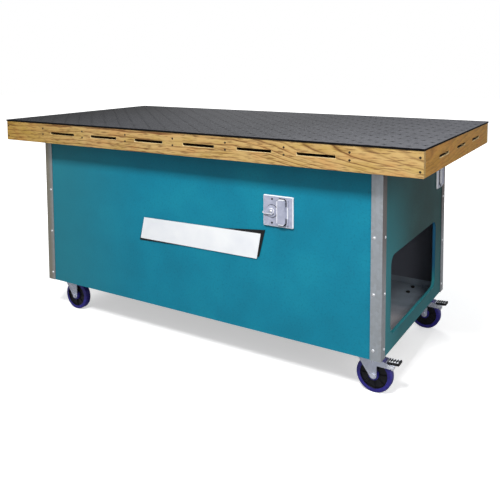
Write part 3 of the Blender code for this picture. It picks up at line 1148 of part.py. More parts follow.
pedal_mesh.transform(Matrix.Translation((-PEDAL_PIVOT_REACH, 0, -pivot_z)))

for corner, (x, y) in caster_places.items():
    part(f"{corner}_caster_plate", caster_plate_mesh, ZINC, (x, y, 0))
    swivel = guide(f"{corner}_swivel", (x, y, 0))
    braked = x > 0
    part(f"{corner}_fork", braked_fork_mesh if braked else plain_fork_mesh, ZINC, parent=swivel)
    axle_line = guide(f"{corner}_axle_line", (CASTER_TRAIL, 0, WHEEL_RADIUS), swivel)
    part(f"{corner}_wheel", wheel_mesh, BLUE_TREAD, parent=axle_line)
    part(f"{corner}_axle", axle_mesh, ZINC, parent=axle_line)
    if braked:
        pivot = guide(f"{corner}_pedal_pivot", (PEDAL_PIVOT_REACH, 0, pivot_z), swivel)
        part(f"{corner}_pedal", pedal_mesh, ZINC, parent=pivot)
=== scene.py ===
# Downdraft sanding table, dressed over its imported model.
# Metres, +Z up, +X towards the end with the air outlet, -Y towards the front.

import math

import bmesh
import bpy
from mathutils import Matrix, Vector


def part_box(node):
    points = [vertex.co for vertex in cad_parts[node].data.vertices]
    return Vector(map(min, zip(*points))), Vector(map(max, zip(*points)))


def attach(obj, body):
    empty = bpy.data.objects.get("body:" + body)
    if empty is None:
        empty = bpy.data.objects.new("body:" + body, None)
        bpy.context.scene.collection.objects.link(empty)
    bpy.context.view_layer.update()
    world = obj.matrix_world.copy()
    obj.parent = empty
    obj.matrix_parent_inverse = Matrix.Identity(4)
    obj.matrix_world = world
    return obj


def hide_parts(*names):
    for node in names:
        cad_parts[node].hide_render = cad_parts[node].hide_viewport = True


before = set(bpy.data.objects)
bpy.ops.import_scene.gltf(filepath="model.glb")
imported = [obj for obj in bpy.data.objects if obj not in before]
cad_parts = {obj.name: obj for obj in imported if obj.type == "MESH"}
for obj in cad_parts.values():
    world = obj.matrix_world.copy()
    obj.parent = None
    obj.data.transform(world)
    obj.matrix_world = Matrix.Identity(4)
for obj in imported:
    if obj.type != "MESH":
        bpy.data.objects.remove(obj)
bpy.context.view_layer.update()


# Camera: a lens with a falling front, at chest height off the right-hand front corner. The
# shift lets it tip down only a little, so the uprights stay upright, as in the photograph.
bpy.ops.object.camera_add(location=(1.4249, -2.2573, 1.1108),
                          rotation=(math.radians(90) - 0.0816, 0.0048, 0.5514))
camera = bpy.context.object
camera.name = "studio_camera"
camera.data.lens = 45.74
camera.data.sensor_width = 36
camera.data.shift_x = 0.0071
camera.data.shift_y = -0.28
bpy.context.scene.camera = camera
bpy.context.scene.view_settings.view_transform = "Standard"


# Studio: a matt white floor that runs to a white surround, one softbox high on the left of
# the camera, weaker ones on the right and behind, and the even light of the white room. The
# floor keeps the table's shadow.
ROOM_LIGHT = 0.44
FLOOR_SIZE = 30


def linear(colour):
    """An sRGB hex colour as a linear colour with full alpha."""
    channels = [int(colour[at:at + 2], 16) / 255 for at in (0, 2, 4)]
    return (*[c / 12.92 if c <= 0.04045 else ((c + 0.055) / 1.055) ** 2.4 for c in channels], 1)


def feed(node, inputs):
    """Fills a node's inputs. Each takes a value, a hex colour, another node's output, or another
    node, for the first of its outputs that is in use."""
    for socket, value in inputs.items():
        if isinstance(value, bpy.types.Node):
            value = next(output for output in value.outputs if output.enabled)
        if isinstance(value, bpy.types.NodeSocket):
            node.id_data.links.new(value, node.inputs[socket])
        else:
            node.inputs[socket].default_value = linear(value) if isinstance(value, str) else value


def add_node(tree, kind, inputs=None, stops=(), **settings):
    """Adds a node with its settings, its colour stops and its inputs."""
    node = tree.nodes.new("ShaderNode" + kind)
    for name, value in settings.items():
        setattr(node, name, value)
    for number, (place, colour) in enumerate(stops):
        elements = node.color_ramp.elements
        element = elements[number] if number < 2 else elements.new(place)
        element.position = place
        element.color = linear(colour)
    feed(node, inputs or {})
    return node


def new_material(name, roughness=0.5, metallic=0.0, specular=0.5):
    """A Principled material with its constant values, its tree, its shader and its Object
    coordinates."""
    material = bpy.data.materials.new(name)
    material.use_nodes = True
    tree = material.node_tree
    shader = tree.nodes["Principled BSDF"]
    feed(shader, {"Roughness": roughness, "Metallic": metallic, "Specular IOR Level": specular})
    return material, tree, shader, add_node(tree, "TexCoord").outputs["Object"]


# Matt white paper. Camera rays get a little more from it near the table, and all of the
# white further out, where it sweeps up to the surround. It throws back less light than it
# shows, as if the walls of the room were grey.
studio_paper, tree, shader, place = new_material("matt_white_paper", roughness=0.95,
                                                 specular=0.0)
to_camera = add_node(tree, "LightPath").outputs["Is Camera Ray"]
away = add_node(tree, "VectorMath", {0: place}, operation="LENGTH")
sweep = add_node(tree, "MapRange", {"Value": away, "From Min": 0.9, "From Max": 2.6,
                                    "To Min": 0.46}, interpolation_type="SMOOTHSTEP")
lift = add_node(tree, "Math", {0: to_camera, 1: sweep}, operation="MULTIPLY")
paper = add_node(tree, "Mix", {0: to_camera, 6: "9C9C9C", 7: "F0F0F0"}, data_type="RGBA")
feed(shader, {"Base Color": paper, "Emission Color": "FFFFFF", "Emission Strength": lift})

bpy.ops.mesh.primitive_plane_add(size=FLOOR_SIZE, location=(0, 0, 0))
studio_floor = bpy.context.object
studio_floor.name = "studio_floor"
studio_floor.data.materials.append(studio_paper)

room = bpy.data.worlds.new("white_room")
bpy.context.scene.world = room
room.use_nodes = True
tree = room.node_tree
rays = add_node(tree, "LightPath").outputs
seen = add_node(tree, "Math", {0: rays["Is Camera Ray"], 1: rays["Is Glossy Ray"]},
                operation="MAXIMUM")
seen = add_node(tree, "Math", {0: seen, 1: rays["Is Transmission Ray"]}, operation="MAXIMUM")
glow = add_node(tree, "MapRange", {"Value": seen, "To Min": ROOM_LIGHT})
feed(tree.nodes["Background"], {"Color": "FFFFFF", "Strength": glow})


def softbox(name, place, aim, size, watts):
    """A square softbox that the camera doesn't see."""
    bpy.ops.object.light_add(type="AREA", location=place)
    light = bpy.context.object
    light.name = name
    light.data.size = size
    light.data.energy = watts
    light.rotation_euler = (Vector(aim) - Vector(place)).to_track_quat("-Z", "Y").to_euler()
    light.visible_camera = False


softbox("key_softbox", place=(0.62, -2.55, 3.15), aim=(0.2, -0.3, 0.5), size=0.6, watts=115)
softbox("fill_softbox", place=(2.5, -1.25, 1.5), aim=(0.76, -0.1, 0.3), size=1.4, watts=20)
softbox("back_softbox", place=(-1.6, 3.0, 2.3), aim=(-0.2, 0.3, 0.5), size=1.6, watts=40)


# Floor pan: a folded tray of primed sheet steel that closes the cabinet below and takes the
# casters' bolts. Behind the front edge of the outlet it carries a painted pool of light.
def only(piece):
    """Makes a piece the active object and the only selected one."""
    bpy.ops.object.select_all(action="DESELECT")
    piece.select_set(True)
    bpy.context.view_layer.objects.active = piece


def dress(material, *nodes):
    """Gives CAD pieces their finish."""
    for node in nodes:
        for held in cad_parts[node].material_slots:
            held.material = material


def seat(piece, name, material, slot, body, *nodes):
    """Names a finished piece, gives it its finish and its body, and hides the CAD nodes it stands
    for.
    """
    piece.name = name
    piece.data.name = name
    piece.data.materials.clear()
    piece.data.materials.append(material)
    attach(piece, body)
    if nodes:
        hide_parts(*nodes)
    return piece


def mottled(name, stops, scale, detail=2, **finish):
    """A material whose colour drifts between stops with a noise in the object's space. The
    noise and the colours are returned too, for a finish that adds to them."""
    material, tree, shader, place = new_material(name, **finish)
    noise = add_node(tree, "TexNoise", {"Vector": place, "Scale": scale, "Detail": detail})
    tones = add_node(tree, "ValToRGB", {"Fac": noise}, stops)
    feed(shader, {"Base Color": tones})
    return material, tree, shader, place, noise, tones


# Light grey primer, sprayed: a low sheen with a slight mottle, a painted pool of light in the
# corner by the front post, where light comes in at the outlet, and painted shade further in.
LIT_CORNER = (0.745, -0.255, 0.145)
primer_with_painted_light, tree, shader, place, mottle, paint = mottled(
    "sprayed_grey_primer", ((0.3, "9CA9B6"), (0.7, "BBC8D6")), scale=14, detail=4,
    roughness=0.62, specular=0.3)
# Painted light: a pale patch about the corner by the front post.
corner = add_node(tree, "VectorMath", {0: place, 1: LIT_CORNER}, operation="DISTANCE")
patch_distance = add_node(tree, "Math", {0: mottle, 1: -0.10, 2: corner}, operation="MULTIPLY_ADD")
painted_light_patch = add_node(tree, "MapRange", {"Value": patch_distance, "From Min": 0.19, "From Max": 0.34,
                                   "To Min": 0.9, "To Max": 0.0})
mixed = add_node(tree, "Mix", {0: painted_light_patch, 6: paint, 7: "F6F0F4"}, data_type="RGBA")
apart = add_node(tree, "SeparateXYZ", {0: place})
# Painted shade: darker further into the cabinet.
painted_shade_inside = add_node(tree, "MapRange", {"Value": apart.outputs["X"], "From Min": 0.58,
                                    "From Max": 0.70, "To Min": 0.75, "To Max": 0.0})
mixed = add_node(tree, "Mix", {0: painted_shade_inside, 6: mixed, 7: "5C6068"}, data_type="RGBA")
feed(shader, {"Base Color": mixed})
dress(primer_with_painted_light, "floor_pan", "plenum_deck")


# Panels: 2 mm sheet steel, sprayed teal outside and left in grey primer inside. The right
# end is cut for the air outlet, with its edge turned in, and for the power inlet.

PANEL_FACE_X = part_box("right_end_panel")[1][0]
PANEL_FACE_Y = -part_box("front_panel")[0][1]
# How far behind a face the outlet's edge turns in, and where the teal ends at ends and sides.
EDGE_TURN = 0.0009
EDGE_REACH = 0.0127
SHEET_REACH = 0.0012


# Teal enamel on sheet steel: semi-gloss, with the fine orange peel of a sprayed coat, drawn
# at 3 mm so that it shows, and broad faint clouds of tone. Past the faces and the turned-in
# edge of the outlet it gives way to grey primer.
def teal_enamel(name, low, mid, high, fleck, clear_wood_and_painted_light_tone, axis, start, end, most, above,
                foot=0.0, turned_in=None):
    """Sprayed teal enamel outside, with primer inside, and a second tone of painted light mixed
    in along one axis and at the foot, less of it above."""
    material, tree, shader, place, _, tone = mottled(
        name, ((0.3, low), (0.5, mid), (0.72, high)), scale=7, detail=3, roughness=0.46,
        specular=0.22)
    specks = add_node(tree, "TexNoise", {"Vector": place, "Scale": 150, "Detail": 3})
    marks = add_node(tree, "MapRange", {"Value": specks, "From Min": 0.5, "From Max": 0.72,
                                        "To Max": 0.5})
    enamel = add_node(tree, "Mix", {0: marks, 6: tone, 7: fleck}, data_type="RGBA")
    apart = add_node(tree, "SeparateXYZ", {0: place})
    level = apart.outputs["Z"]
    # Painted light: the second tone along the axis, held back above by painted shade under the
    # frame's overhang and raised at the foot.
    painted_light_share = add_node(tree, "MapRange", {"Value": apart.outputs[axis], "From Min": start,
                                         "From Max": end, "To Max": most},
                      interpolation_type="SMOOTHSTEP")
    upper = add_node(tree, "MapRange", {"Value": level, "From Min": 0.42, "From Max": 0.74,
                                        "To Min": 1.0, "To Max": above})
    painted_light_share = add_node(tree, "Math", {0: painted_light_share, 1: upper}, operation="MULTIPLY")
    lower = add_node(tree, "MapRange", {"Value": level, "From Min": 0.45, "From Max": 0.15,
                                        "To Max": foot})
    painted_light_share = add_node(tree, "Math", {0: painted_light_share, 1: lower}, operation="MAXIMUM")
    enamel = add_node(tree, "Mix", {0: painted_light_share, 6: enamel, 7: clear_wood_and_painted_light_tone}, data_type="RGBA")
    # Painted highlight: the turned-in edge is paler along its foot, which faces up to the light.
    if turned_in:
        past = add_node(tree, "Math", {0: apart.outputs["X"], 1: PANEL_FACE_X - EDGE_TURN},
                        operation="LESS_THAN")
        rise = add_node(tree, "MapRange", {"Value": level, "From Min": 0.22, "From Max": 0.28})
        edge = add_node(tree, "Mix", {0: rise, 6: turned_in[0], 7: turned_in[1]},
                        data_type="RGBA")
        enamel = add_node(tree, "Mix", {0: past, 6: enamel, 7: edge}, data_type="RGBA")
    inner = []
    for way, limit in (("X", PANEL_FACE_X - EDGE_REACH), ("Y", PANEL_FACE_Y - SHEET_REACH)):
        reach = add_node(tree, "Math", {0: apart.outputs[way]}, operation="ABSOLUTE")
        inner.append(add_node(tree, "Math", {0: reach, 1: limit}, operation="LESS_THAN"))
    primed = add_node(tree, "Math", {0: inner[0], 1: inner[1]}, operation="MULTIPLY")
    coat = add_node(tree, "Mix", {0: primed, 6: enamel, 7: "646670"}, data_type="RGBA")
    peel = add_node(tree, "TexNoise", {"Vector": place, "Scale": 330, "Detail": 1})
    grain = add_node(tree, "Bump", {"Height": peel, "Strength": 0.06, "Distance": 0.001})
    feed(shader, {"Base Color": coat, "Normal": grain})
    return material


# Painted shade: the front, rear and left panels turn darker and greyer towards the left end.
side_enamel = teal_enamel("sprayed_teal_enamel", "0D7791", "0D7D98", "11849D", "0A687E",
                          "2B7884", "X", -0.15, -0.75, 0.65, 1.0)
# The outlet end is painted in shade: the same paint made darker and greyer, with painted
# light by the front post and along the foot, and painted shade at the top, under the overhang.
# The turned-in edge of the outlet is bluer at its sides and top, and paler along its foot
# with a painted highlight.
outlet_enamel = teal_enamel("painted_shade_teal_enamel", "173838", "193F40", "1F494A", "122B2C",
                            "2B7F89", "Y", 0.02, -0.36, 0.92, 0.3, 0.55,
                            ("3C9AA4", "2D6E96"))


def eased_copy(node, name, material, slot, body, ease, rim=None):
    """A copy of a CAD piece, its loose triangles joined and its sharp edges eased. The eased
    edges may have a finish of their own."""
    piece = bpy.data.objects.new(name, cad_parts[node].data.copy())
    bpy.context.scene.collection.objects.link(piece)
    seat(piece, name, material, slot, body, node)
    only(piece)
    bpy.ops.object.mode_set(mode="EDIT")
    bpy.ops.mesh.select_all(action="SELECT")
    bpy.ops.mesh.remove_doubles(threshold=0.00001)
    bpy.ops.mesh.dissolve_limited(angle_limit=math.radians(0.5))
    bpy.ops.object.mode_set(mode="OBJECT")
    edge = piece.modifiers.new("eased_edge", "BEVEL")
    edge.width = ease
    edge.segments = 2
    if rim:
        piece.data.materials.append(rim)
        edge.material = 1
    bpy.ops.object.modifier_apply(modifier=edge.name)
    bpy.ops.object.shade_smooth_by_angle(angle=math.radians(50))
    flat = piece.modifiers.new("flat_faces", "WEIGHTED_NORMAL")
    flat.keep_sharp = True
    bpy.ops.object.modifier_apply(modifier=flat.name)
    return piece


dress(side_enamel, "front_panel", "rear_panel", "left_end_panel")
eased_copy("right_end_panel", "outlet_end_panel", outlet_enamel, "teal_paint", "cabinet",
           ease=0.0007)


# Corner posts: 38 mm steel angles, galvanised after bending and riveted over the panels'
# corners through both legs. They carry the frame.
CORNERS = ("front_left", "front_right", "rear_right", "rear_left")
POST_FACE_X = 0.7645
POST_FACE_Y = 0.3760

# Hot-dip galvanised steel: a dull zinc skin in spangles about 12 mm across, with faint
# streaks down its length, painted shade that makes it darker and yellower towards the left
# end, and painted shade on the upper legs at the outlet end, under the frame's overhang.
galvanised, tree, shader, place = new_material("galvanised_steel")
spangle = add_node(tree, "TexVoronoi", {"Vector": place, "Scale": 85})
grey = add_node(tree, "SeparateColor", {0: spangle.outputs["Color"]})
stretch = add_node(tree, "Mapping", {"Vector": place, "Scale": (60, 60, 6)})
streaks = add_node(tree, "TexNoise", {"Vector": stretch, "Scale": 1, "Detail": 4})
blend = add_node(tree, "Math", {0: grey, 1: 0.35, 2: streaks}, operation="MULTIPLY_ADD")
zinc_skin = add_node(tree, "ValToRGB", {"Fac": blend},
                     ((0.35, "A1A5A9"), (0.65, "A9AEB4"), (0.95, "B1B7BE")))
apart = add_node(tree, "SeparateXYZ", {0: place})
# Painted shade: darker and yellower towards the left end.
left_end_painted_shade = add_node(tree, "MapRange", {"Value": apart.outputs["X"], "From Min": -0.72,
                                    "From Max": -0.75, "To Max": 0.8})
zinc_skin = add_node(tree, "Mix", {0: left_end_painted_shade, 6: zinc_skin, 7: "908874"}, data_type="RGBA")
# Painted shade: darker and less metallic on the upper part of the legs at the outlet end, under
# the frame's overhang.
leg_side = add_node(tree, "Math", {0: apart.outputs["Y"]}, operation="ABSOLUTE")
leg_side = add_node(tree, "Math", {0: leg_side, 1: POST_FACE_Y - 0.0015}, operation="LESS_THAN")
end_leg = add_node(tree, "MapRange", {"Value": apart.outputs["X"],
                                      "From Min": POST_FACE_X - 0.0035,
                                      "From Max": POST_FACE_X - 0.0030, "To Max": leg_side})
sheltered = add_node(tree, "MapRange", {"Value": apart.outputs["Z"], "From Min": 0.30,
                                        "From Max": 0.58, "To Min": 0.3},
                     interpolation_type="SMOOTHSTEP")
overhang_painted_shade = add_node(tree, "Math", {0: end_leg, 1: sheltered}, operation="MULTIPLY")
zinc_skin = add_node(tree, "Mix", {0: overhang_painted_shade, 6: zinc_skin, 7: "726D6C"}, data_type="RGBA")
shine = add_node(tree, "MapRange", {"Value": overhang_painted_shade, "To Min": 0.75, "To Max": 0.25})
dull = add_node(tree, "MapRange", {"Value": streaks, "From Min": 0.3, "From Max": 0.7,
                                   "To Min": 0.58, "To Max": 0.42})
dull = add_node(tree, "Math", {0: overhang_painted_shade, 1: 0.3, 2: dull}, operation="MULTIPLY_ADD")
feed(shader, {"Base Color": zinc_skin, "Metallic": shine, "Roughness": dull})
for corner in CORNERS:
    eased_copy(f"{corner}_post", f"{corner}_angle_post", galvanised, "galvanised_steel",
               "cabinet", ease=0.0006)


# Rivets: blind rivets of aluminium, three down each leg of every post, each with a thin
# flange and a dimple where its pin broke off.
RIVET_LEVELS = (0.1751, 0.3591, 0.5431)
RIVET_INSET = 0.0270
RIVET_RADIUS = 0.0052
RIVET_FLANGE = 0.0011


def pick(piece, kind, test):
    """Selects the faces, edges or vertices of the edited piece whose middle passes the test."""
    bpy.ops.mesh.select_all(action="DESELECT")
    bpy.ops.mesh.select_mode(type={"faces": "FACE", "edges": "EDGE", "verts": "VERT"}[kind])
    shape = bmesh.from_edit_mesh(piece.data)
    for element in getattr(shape, kind):
        if kind == "verts":
            middle = element.co
        elif kind == "edges":
            middle = 0.5 * (element.verts[0].co + element.verts[1].co)
        else:
            middle = element.calc_center_median()
        element.select_set(bool(test(middle, element)))
    shape.select_flush_mode()
    bmesh.update_edit_mesh(piece.data)


def inset(*steps):
    """Insets the picked faces step by step, each as far in and then as far out as it says."""
    for step_in, step_out in steps:
        bpy.ops.mesh.inset(thickness=step_in, depth=step_out)


def moved_copy(piece, move):
    """A copy of a finished piece with its own mesh, moved by a matrix."""
    copy = piece.copy()
    copy.data = piece.data.copy()
    copy.data.transform(move)
    bpy.context.scene.collection.objects.link(copy)
    return copy


def set_out(piece, moves):
    """Copies of a finished piece at several places, joined into one."""
    made = [moved_copy(piece, move) for move in moves]
    only(made[0])
    for copy in made[1:]:
        copy.select_set(True)
    bpy.ops.object.join()
    return made[0]


def facing(place, turn=0):
    """The move that takes a piece made at the origin, facing the front, to a place."""
    return Matrix.Translation(place) @ Matrix.Rotation(math.radians(turn), 4, "Z")


def round_start(sides, radius, depth, place):
    """A disc that faces the front, open for editing."""
    bpy.ops.mesh.primitive_cylinder_add(vertices=sides, radius=radius, depth=depth,
                                        location=place, rotation=(math.radians(90), 0, 0))
    bpy.ops.object.transform_apply()
    bpy.ops.object.mode_set(mode="EDIT")
    return bpy.context.object


def finish_edit(angle):
    """Leaves edit mode, with edges flatter than an angle in degrees shaded smooth."""
    bpy.ops.object.mode_set(mode="OBJECT")
    bpy.ops.object.shade_smooth_by_angle(angle=math.radians(angle))


def round_head(*steps, sides, radius, depth, proud, angle):
    """A small round head at the origin whose front face is stepped inwards from its rim."""
    head = round_start(sides, radius, depth, (0, -proud, 0))
    pick(head, "faces", lambda middle, face: face.normal.y < -0.9)
    inset(*steps)
    finish_edit(angle)
    return head


# Tumbled aluminium: bright and smooth, with a few duller rubs.
rivet_aluminium = mottled("tumbled_aluminium", ((0.3, "D6D8DC"), (0.6, "F0F1F4")), scale=300,
                          roughness=0.32, metallic=0.8)[0]

rivet = round_head((0.0008, 0), (0.0003, 0.0008), (0.0010, 0.0004), (0.0016, 0.0001),
                   (0.0003, -0.0005), sides=14, radius=RIVET_RADIUS, depth=RIVET_FLANGE,
                   proud=0.0004, angle=50)
moves = []
for level in RIVET_LEVELS:
    for side in (-1, 1):
        for end in (-1, 1):
            moves.append(facing((side * (POST_FACE_X - RIVET_INSET), end * POST_FACE_Y, level),
                                90 * (1 + end)))
            moves.append(facing((side * POST_FACE_X, end * (POST_FACE_Y - RIVET_INSET), level),
                                90 * side))
seat(set_out(rivet, moves), "post_rivets", rivet_aluminium, "cast_aluminium", "cabinet")
bpy.data.objects.remove(rivet)


# Blower: a welded scroll of galvanised sheet under the plenum deck, an open wheel with ten
# swept blades in it, and a flanged motor bolted below.

# Grey motor enamel: brushed on thick, so it is glossier than the sprayed paint.
motor_enamel = mottled("grey_motor_enamel", ((0.3, "50545B"), (0.7, "676B72")), scale=40,
                       detail=3, roughness=0.38)[0]
dress(galvanised, "blower_housing", "blower_wheel")
dress(motor_enamel, "blower_motor")


# Filters: three pleated panel filters in board cases, which drop into a ledge frame of
# galvanised angle. The soffit pan over them closes the frame's overhang from below.

# Filter paper: off-white fibre with a nap, greyed with dust.
filter_paper, tree, shader, place, fibre, _ = mottled(
    "pleated_filter_paper", ((0.3, "B9BAB2"), (0.7, "DEE0DA")), scale=420, detail=3,
    roughness=0.95, specular=0.1)
nap = add_node(tree, "Bump", {"Height": fibre, "Strength": 0.3, "Distance": 0.001})
feed(shader, {"Normal": nap})
dress(filter_paper, "filter_1", "filter_2", "filter_3")
dress(galvanised, "filter_frame", "soffit_pan")


# Hardwood frame: oak boards on edge, 81 x 19 mm, with seven joists between the side boards.
# Air slots are routed between the joists, and the edges are eased and clear-finished.
SLOT_LEVEL = 0.8043
SLOT_HALF = 0.0052
SLOT_LIP = 0.008
SLOTS_REACH = 0.88
JOISTS = [f"joist_{number}" for number in range(1, 8)]


def oak_board(name, pale, mid, dark, turn, face, depths, levels, span, shade_start=0.0012):
    """Flat-sawn oak under clear finish, grown in rings round a pith that runs along the board
    behind its face. Where the pith draws nearer, the rings end in long arches."""
    material, tree, shader, place = new_material(name, roughness=0.55, specular=0.3)
    turned = add_node(tree, "Mapping", {"Vector": place,
                                        "Rotation": (0, 0, math.radians(turn))})
    parts = add_node(tree, "SeparateXYZ", {0: turned})
    along, across, height = parts.outputs
    course = {"Value": along, "From Min": span[0], "From Max": span[1]}
    depth = add_node(tree, "MapRange", {**course, "To Min": depths[0], "To Max": depths[1]})
    level = add_node(tree, "MapRange", {**course, "To Min": levels[0], "To Max": levels[1]},
                     interpolation_type="SMOOTHSTEP")
    # Noises drawn out along the board: its sway, clearer wood, pores and patches of hue.
    stretched = [add_node(tree, "Mapping", {"Vector": turned, "Scale": scale})
                 for scale in ((3.2, 6, 6), (7, 30, 30), (26, 240, 240), (9, 22, 22))]
    sway, clearer, pores, patches = [
        add_node(tree, "TexNoise", {"Vector": space, "Scale": 1}) for space in stretched]
    wall = add_node(tree, "Math", {0: across}, operation="ABSOLUTE")
    wall = add_node(tree, "Math", {0: face, 1: wall}, operation="SUBTRACT")
    behind = add_node(tree, "Math", {0: depth, 1: wall}, operation="SUBTRACT")
    bend = add_node(tree, "MapRange", {"Value": sway, "From Min": 0.2, "From Max": 0.8,
                                       "To Min": -0.011, "To Max": 0.011}, clamp=False)
    up = add_node(tree, "Math", {0: height, 1: level}, operation="SUBTRACT")
    up = add_node(tree, "Math", {0: up, 1: bend}, operation="ADD")
    short = add_node(tree, "Math", {0: along, 1: 0.22}, operation="MULTIPLY")
    log = add_node(tree, "CombineXYZ", {0: short, 1: behind, 2: up})
    rings = add_node(tree, "TexWave", {"Vector": log, "Scale": 34.9, "Distortion": 2.2,
                                       "Detail": 3, "Detail Scale": 0.8},
                     wave_type="RINGS", rings_direction="X", wave_profile="SAW")
    band = add_node(tree, "ValToRGB", {"Fac": rings.outputs["Fac"]},
                    ((0.0, mid), (0.12, pale), (0.74, mid), (0.89, dark), (1.0, mid)))
    fade = add_node(tree, "MapRange", {"Value": clearer, "From Min": 0.38, "From Max": 0.62,
                                       "To Max": 0.66})
    clear_wood_and_painted_light_tone = add_node(tree, "Mix", {0: fade, 6: band, 7: pale}, data_type="RGBA")
    streak = add_node(tree, "MapRange", {"Value": pores, "From Min": 0.52, "From Max": 0.70,
                                         "To Max": 0.8})
    grained = add_node(tree, "Mix", {0: streak, 6: clear_wood_and_painted_light_tone, 7: dark}, data_type="RGBA")
    hue = add_node(tree, "ValToRGB", {"Fac": patches},
                   ((0.32, "F4EABF"), (0.5, "FFF6E2"), (0.68, "FFE8D0")))
    toned = add_node(tree, "Mix", {0: 1.0, 6: grained, 7: hue}, data_type="RGBA",
                     blend_type="MULTIPLY")
    # The lower wall of an air slot has a pale painted highlight at its lip and painted shade
    # further in.
    above = add_node(tree, "Math", {0: height, 1: SLOT_LEVEL}, operation="GREATER_THAN")
    further = add_node(tree, "MapRange", {"Value": above, "To Min": 1.0, "To Max": 20.0})
    reach = add_node(tree, "Math", {0: wall, 1: further}, operation="MULTIPLY")
    off_middle = add_node(tree, "Math", {0: height, 1: SLOT_LEVEL}, operation="SUBTRACT")
    off_middle = add_node(tree, "Math", {0: off_middle}, operation="ABSOLUTE")
    off_centre = add_node(tree, "Math", {0: along}, operation="ABSOLUTE")
    inside = [add_node(tree, "Math", {0: value, 1: edge}, operation=side)
              for value, edge, side in ((off_middle, SLOT_HALF, "LESS_THAN"),
                                        (off_centre, SLOTS_REACH, "LESS_THAN"),
                                        (reach, 0.0004, "GREATER_THAN"),
                                        (reach, shade_start, "GREATER_THAN"))]
    slot_wall = add_node(tree, "Math", {0: inside[0], 1: inside[1]}, operation="MULTIPLY")
    for depth_test, painted_tone in ((inside[2], "E6D2A4"), (inside[3], "3A2A1A")):
        patch = add_node(tree, "Math", {0: slot_wall, 1: depth_test}, operation="MULTIPLY")
        toned = add_node(tree, "Mix", {0: patch, 6: toned, 7: painted_tone}, data_type="RGBA")
    relief = add_node(tree, "Math", {0: streak, 1: -0.6, 2: rings.outputs["Fac"]},
                      operation="MULTIPLY_ADD")
    grain = add_node(tree, "Bump", {"Height": relief, "Strength": 0.1, "Distance": 0.001})
    feed(shader, {"Base Color": toned, "Normal": grain})
    return material, tree, shader, place, toned


side_oak, tree, shader, place, wood = oak_board(
    "clear_finished_side_oak", "C1A877", "B39664", "5E3B20", 0, 0.455, (0.126, 0.0735),
    (0.880, 0.8385), (0.26, 0.93))
# A dark pin knot, cut lengthwise, lies under the front rail's top edge left of the middle.
KNOT_X = -0.060
KNOT_LEVEL = 0.8362
KNOT_LENGTH = 0.058
KNOT_HEIGHT = 0.0048
moved = add_node(tree, "Mapping", {
    "Vector": place, "Location": (-KNOT_X / KNOT_LENGTH, 0, -KNOT_LEVEL / KNOT_HEIGHT),
    "Scale": (1 / KNOT_LENGTH, 0, 1 / KNOT_HEIGHT)})
off_knot = add_node(tree, "VectorMath", {0: moved}, operation="LENGTH")
parts = add_node(tree, "SeparateXYZ", {0: place})
front = add_node(tree, "Math", {0: parts.outputs["Y"], 1: 0.0}, operation="LESS_THAN")
knot = add_node(tree, "MapRange", {"Value": off_knot, "From Min": 0.45, "From Max": 1.15,
                                   "To Min": 0.8, "To Max": 0.0})
knot = add_node(tree, "Math", {0: knot, 1: front}, operation="MULTIPLY")
knotted = add_node(tree, "Mix", {0: knot, 6: wood, 7: "6B3A1C"}, data_type="RGBA")
# The finish has yellowed more towards the left end.
left = add_node(tree, "MapRange", {"Value": parts.outputs["X"], "From Min": -0.45,
                                   "From Max": -0.90})
yellowed = add_node(tree, "Mix", {0: left, 6: knotted, 7: "F2EABB"}, data_type="RGBA",
                    blend_type="MULTIPLY")
feed(shader, {"Base Color": yellowed})
end_oak = oak_board("clear_finished_end_oak", "B88E44", "AA7E3A", "8C672C", 90, 0.9125,
                    (0.09, 0.06), (0.87, 0.83), (-0.4, 0.4), 0.0040)[0]
joist_oak = oak_board("planed_joist_oak", "CDA873", "C19861", "9C723F", 90, 0.9125,
                      (0.09, 0.07), (0.87, 0.85), (-0.4, 0.4))[0]
# The lower lips of the slots carry a pale painted highlight on their eased edges.
highlight_oak = mottled("painted_highlight_oak_lip", ((0.35, "C8AE78"), (0.65, "E2CC9C")), scale=60,
                     detail=3, roughness=0.6, specular=0.3)[0]
for side, oak, kind, across in (("front", side_oak, "side", 0), ("rear", side_oak, "side", 0),
                                ("left", end_oak, "end", 1), ("right", end_oak, "end", 1)):
    board = eased_copy(f"{side}_rail", f"{side}_oak_rail", oak, f"{kind}_rail_oak", "cabinet",
                       ease=0.0014, rim=highlight_oak)
    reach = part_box(f"{side}_rail")[1][across] - 0.02
    for face in board.data.polygons:
        lower_lip = -SLOT_LIP < face.center.z - SLOT_LEVEL < 0
        if not lower_lip or abs(face.center[across]) > reach:
            face.material_index = 0
dress(joist_oak, *JOISTS)


# Frame screws: black wood screws with low heads on the faces of the side rails: two into
# each joist and two into each end of the end rails.
SCREW_RADIUS = 0.0036
SCREW_DEPTH = 0.0010
JOIST_SCREW_DROPS = (0.0204, 0.0448)
END_SCREW_DROPS = (0.0198, 0.0619)
END_SCREW_INSET = 0.0104
rail_low, rail_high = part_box("front_rail")

# Black phosphate on steel: a dark, dry, slightly waxy coat.
black_phosphate = mottled("black_phosphated_steel", ((0.3, "151312"), (0.7, "2C2826")),
                          scale=900, detail=1, roughness=0.55, metallic=0.4)[0]

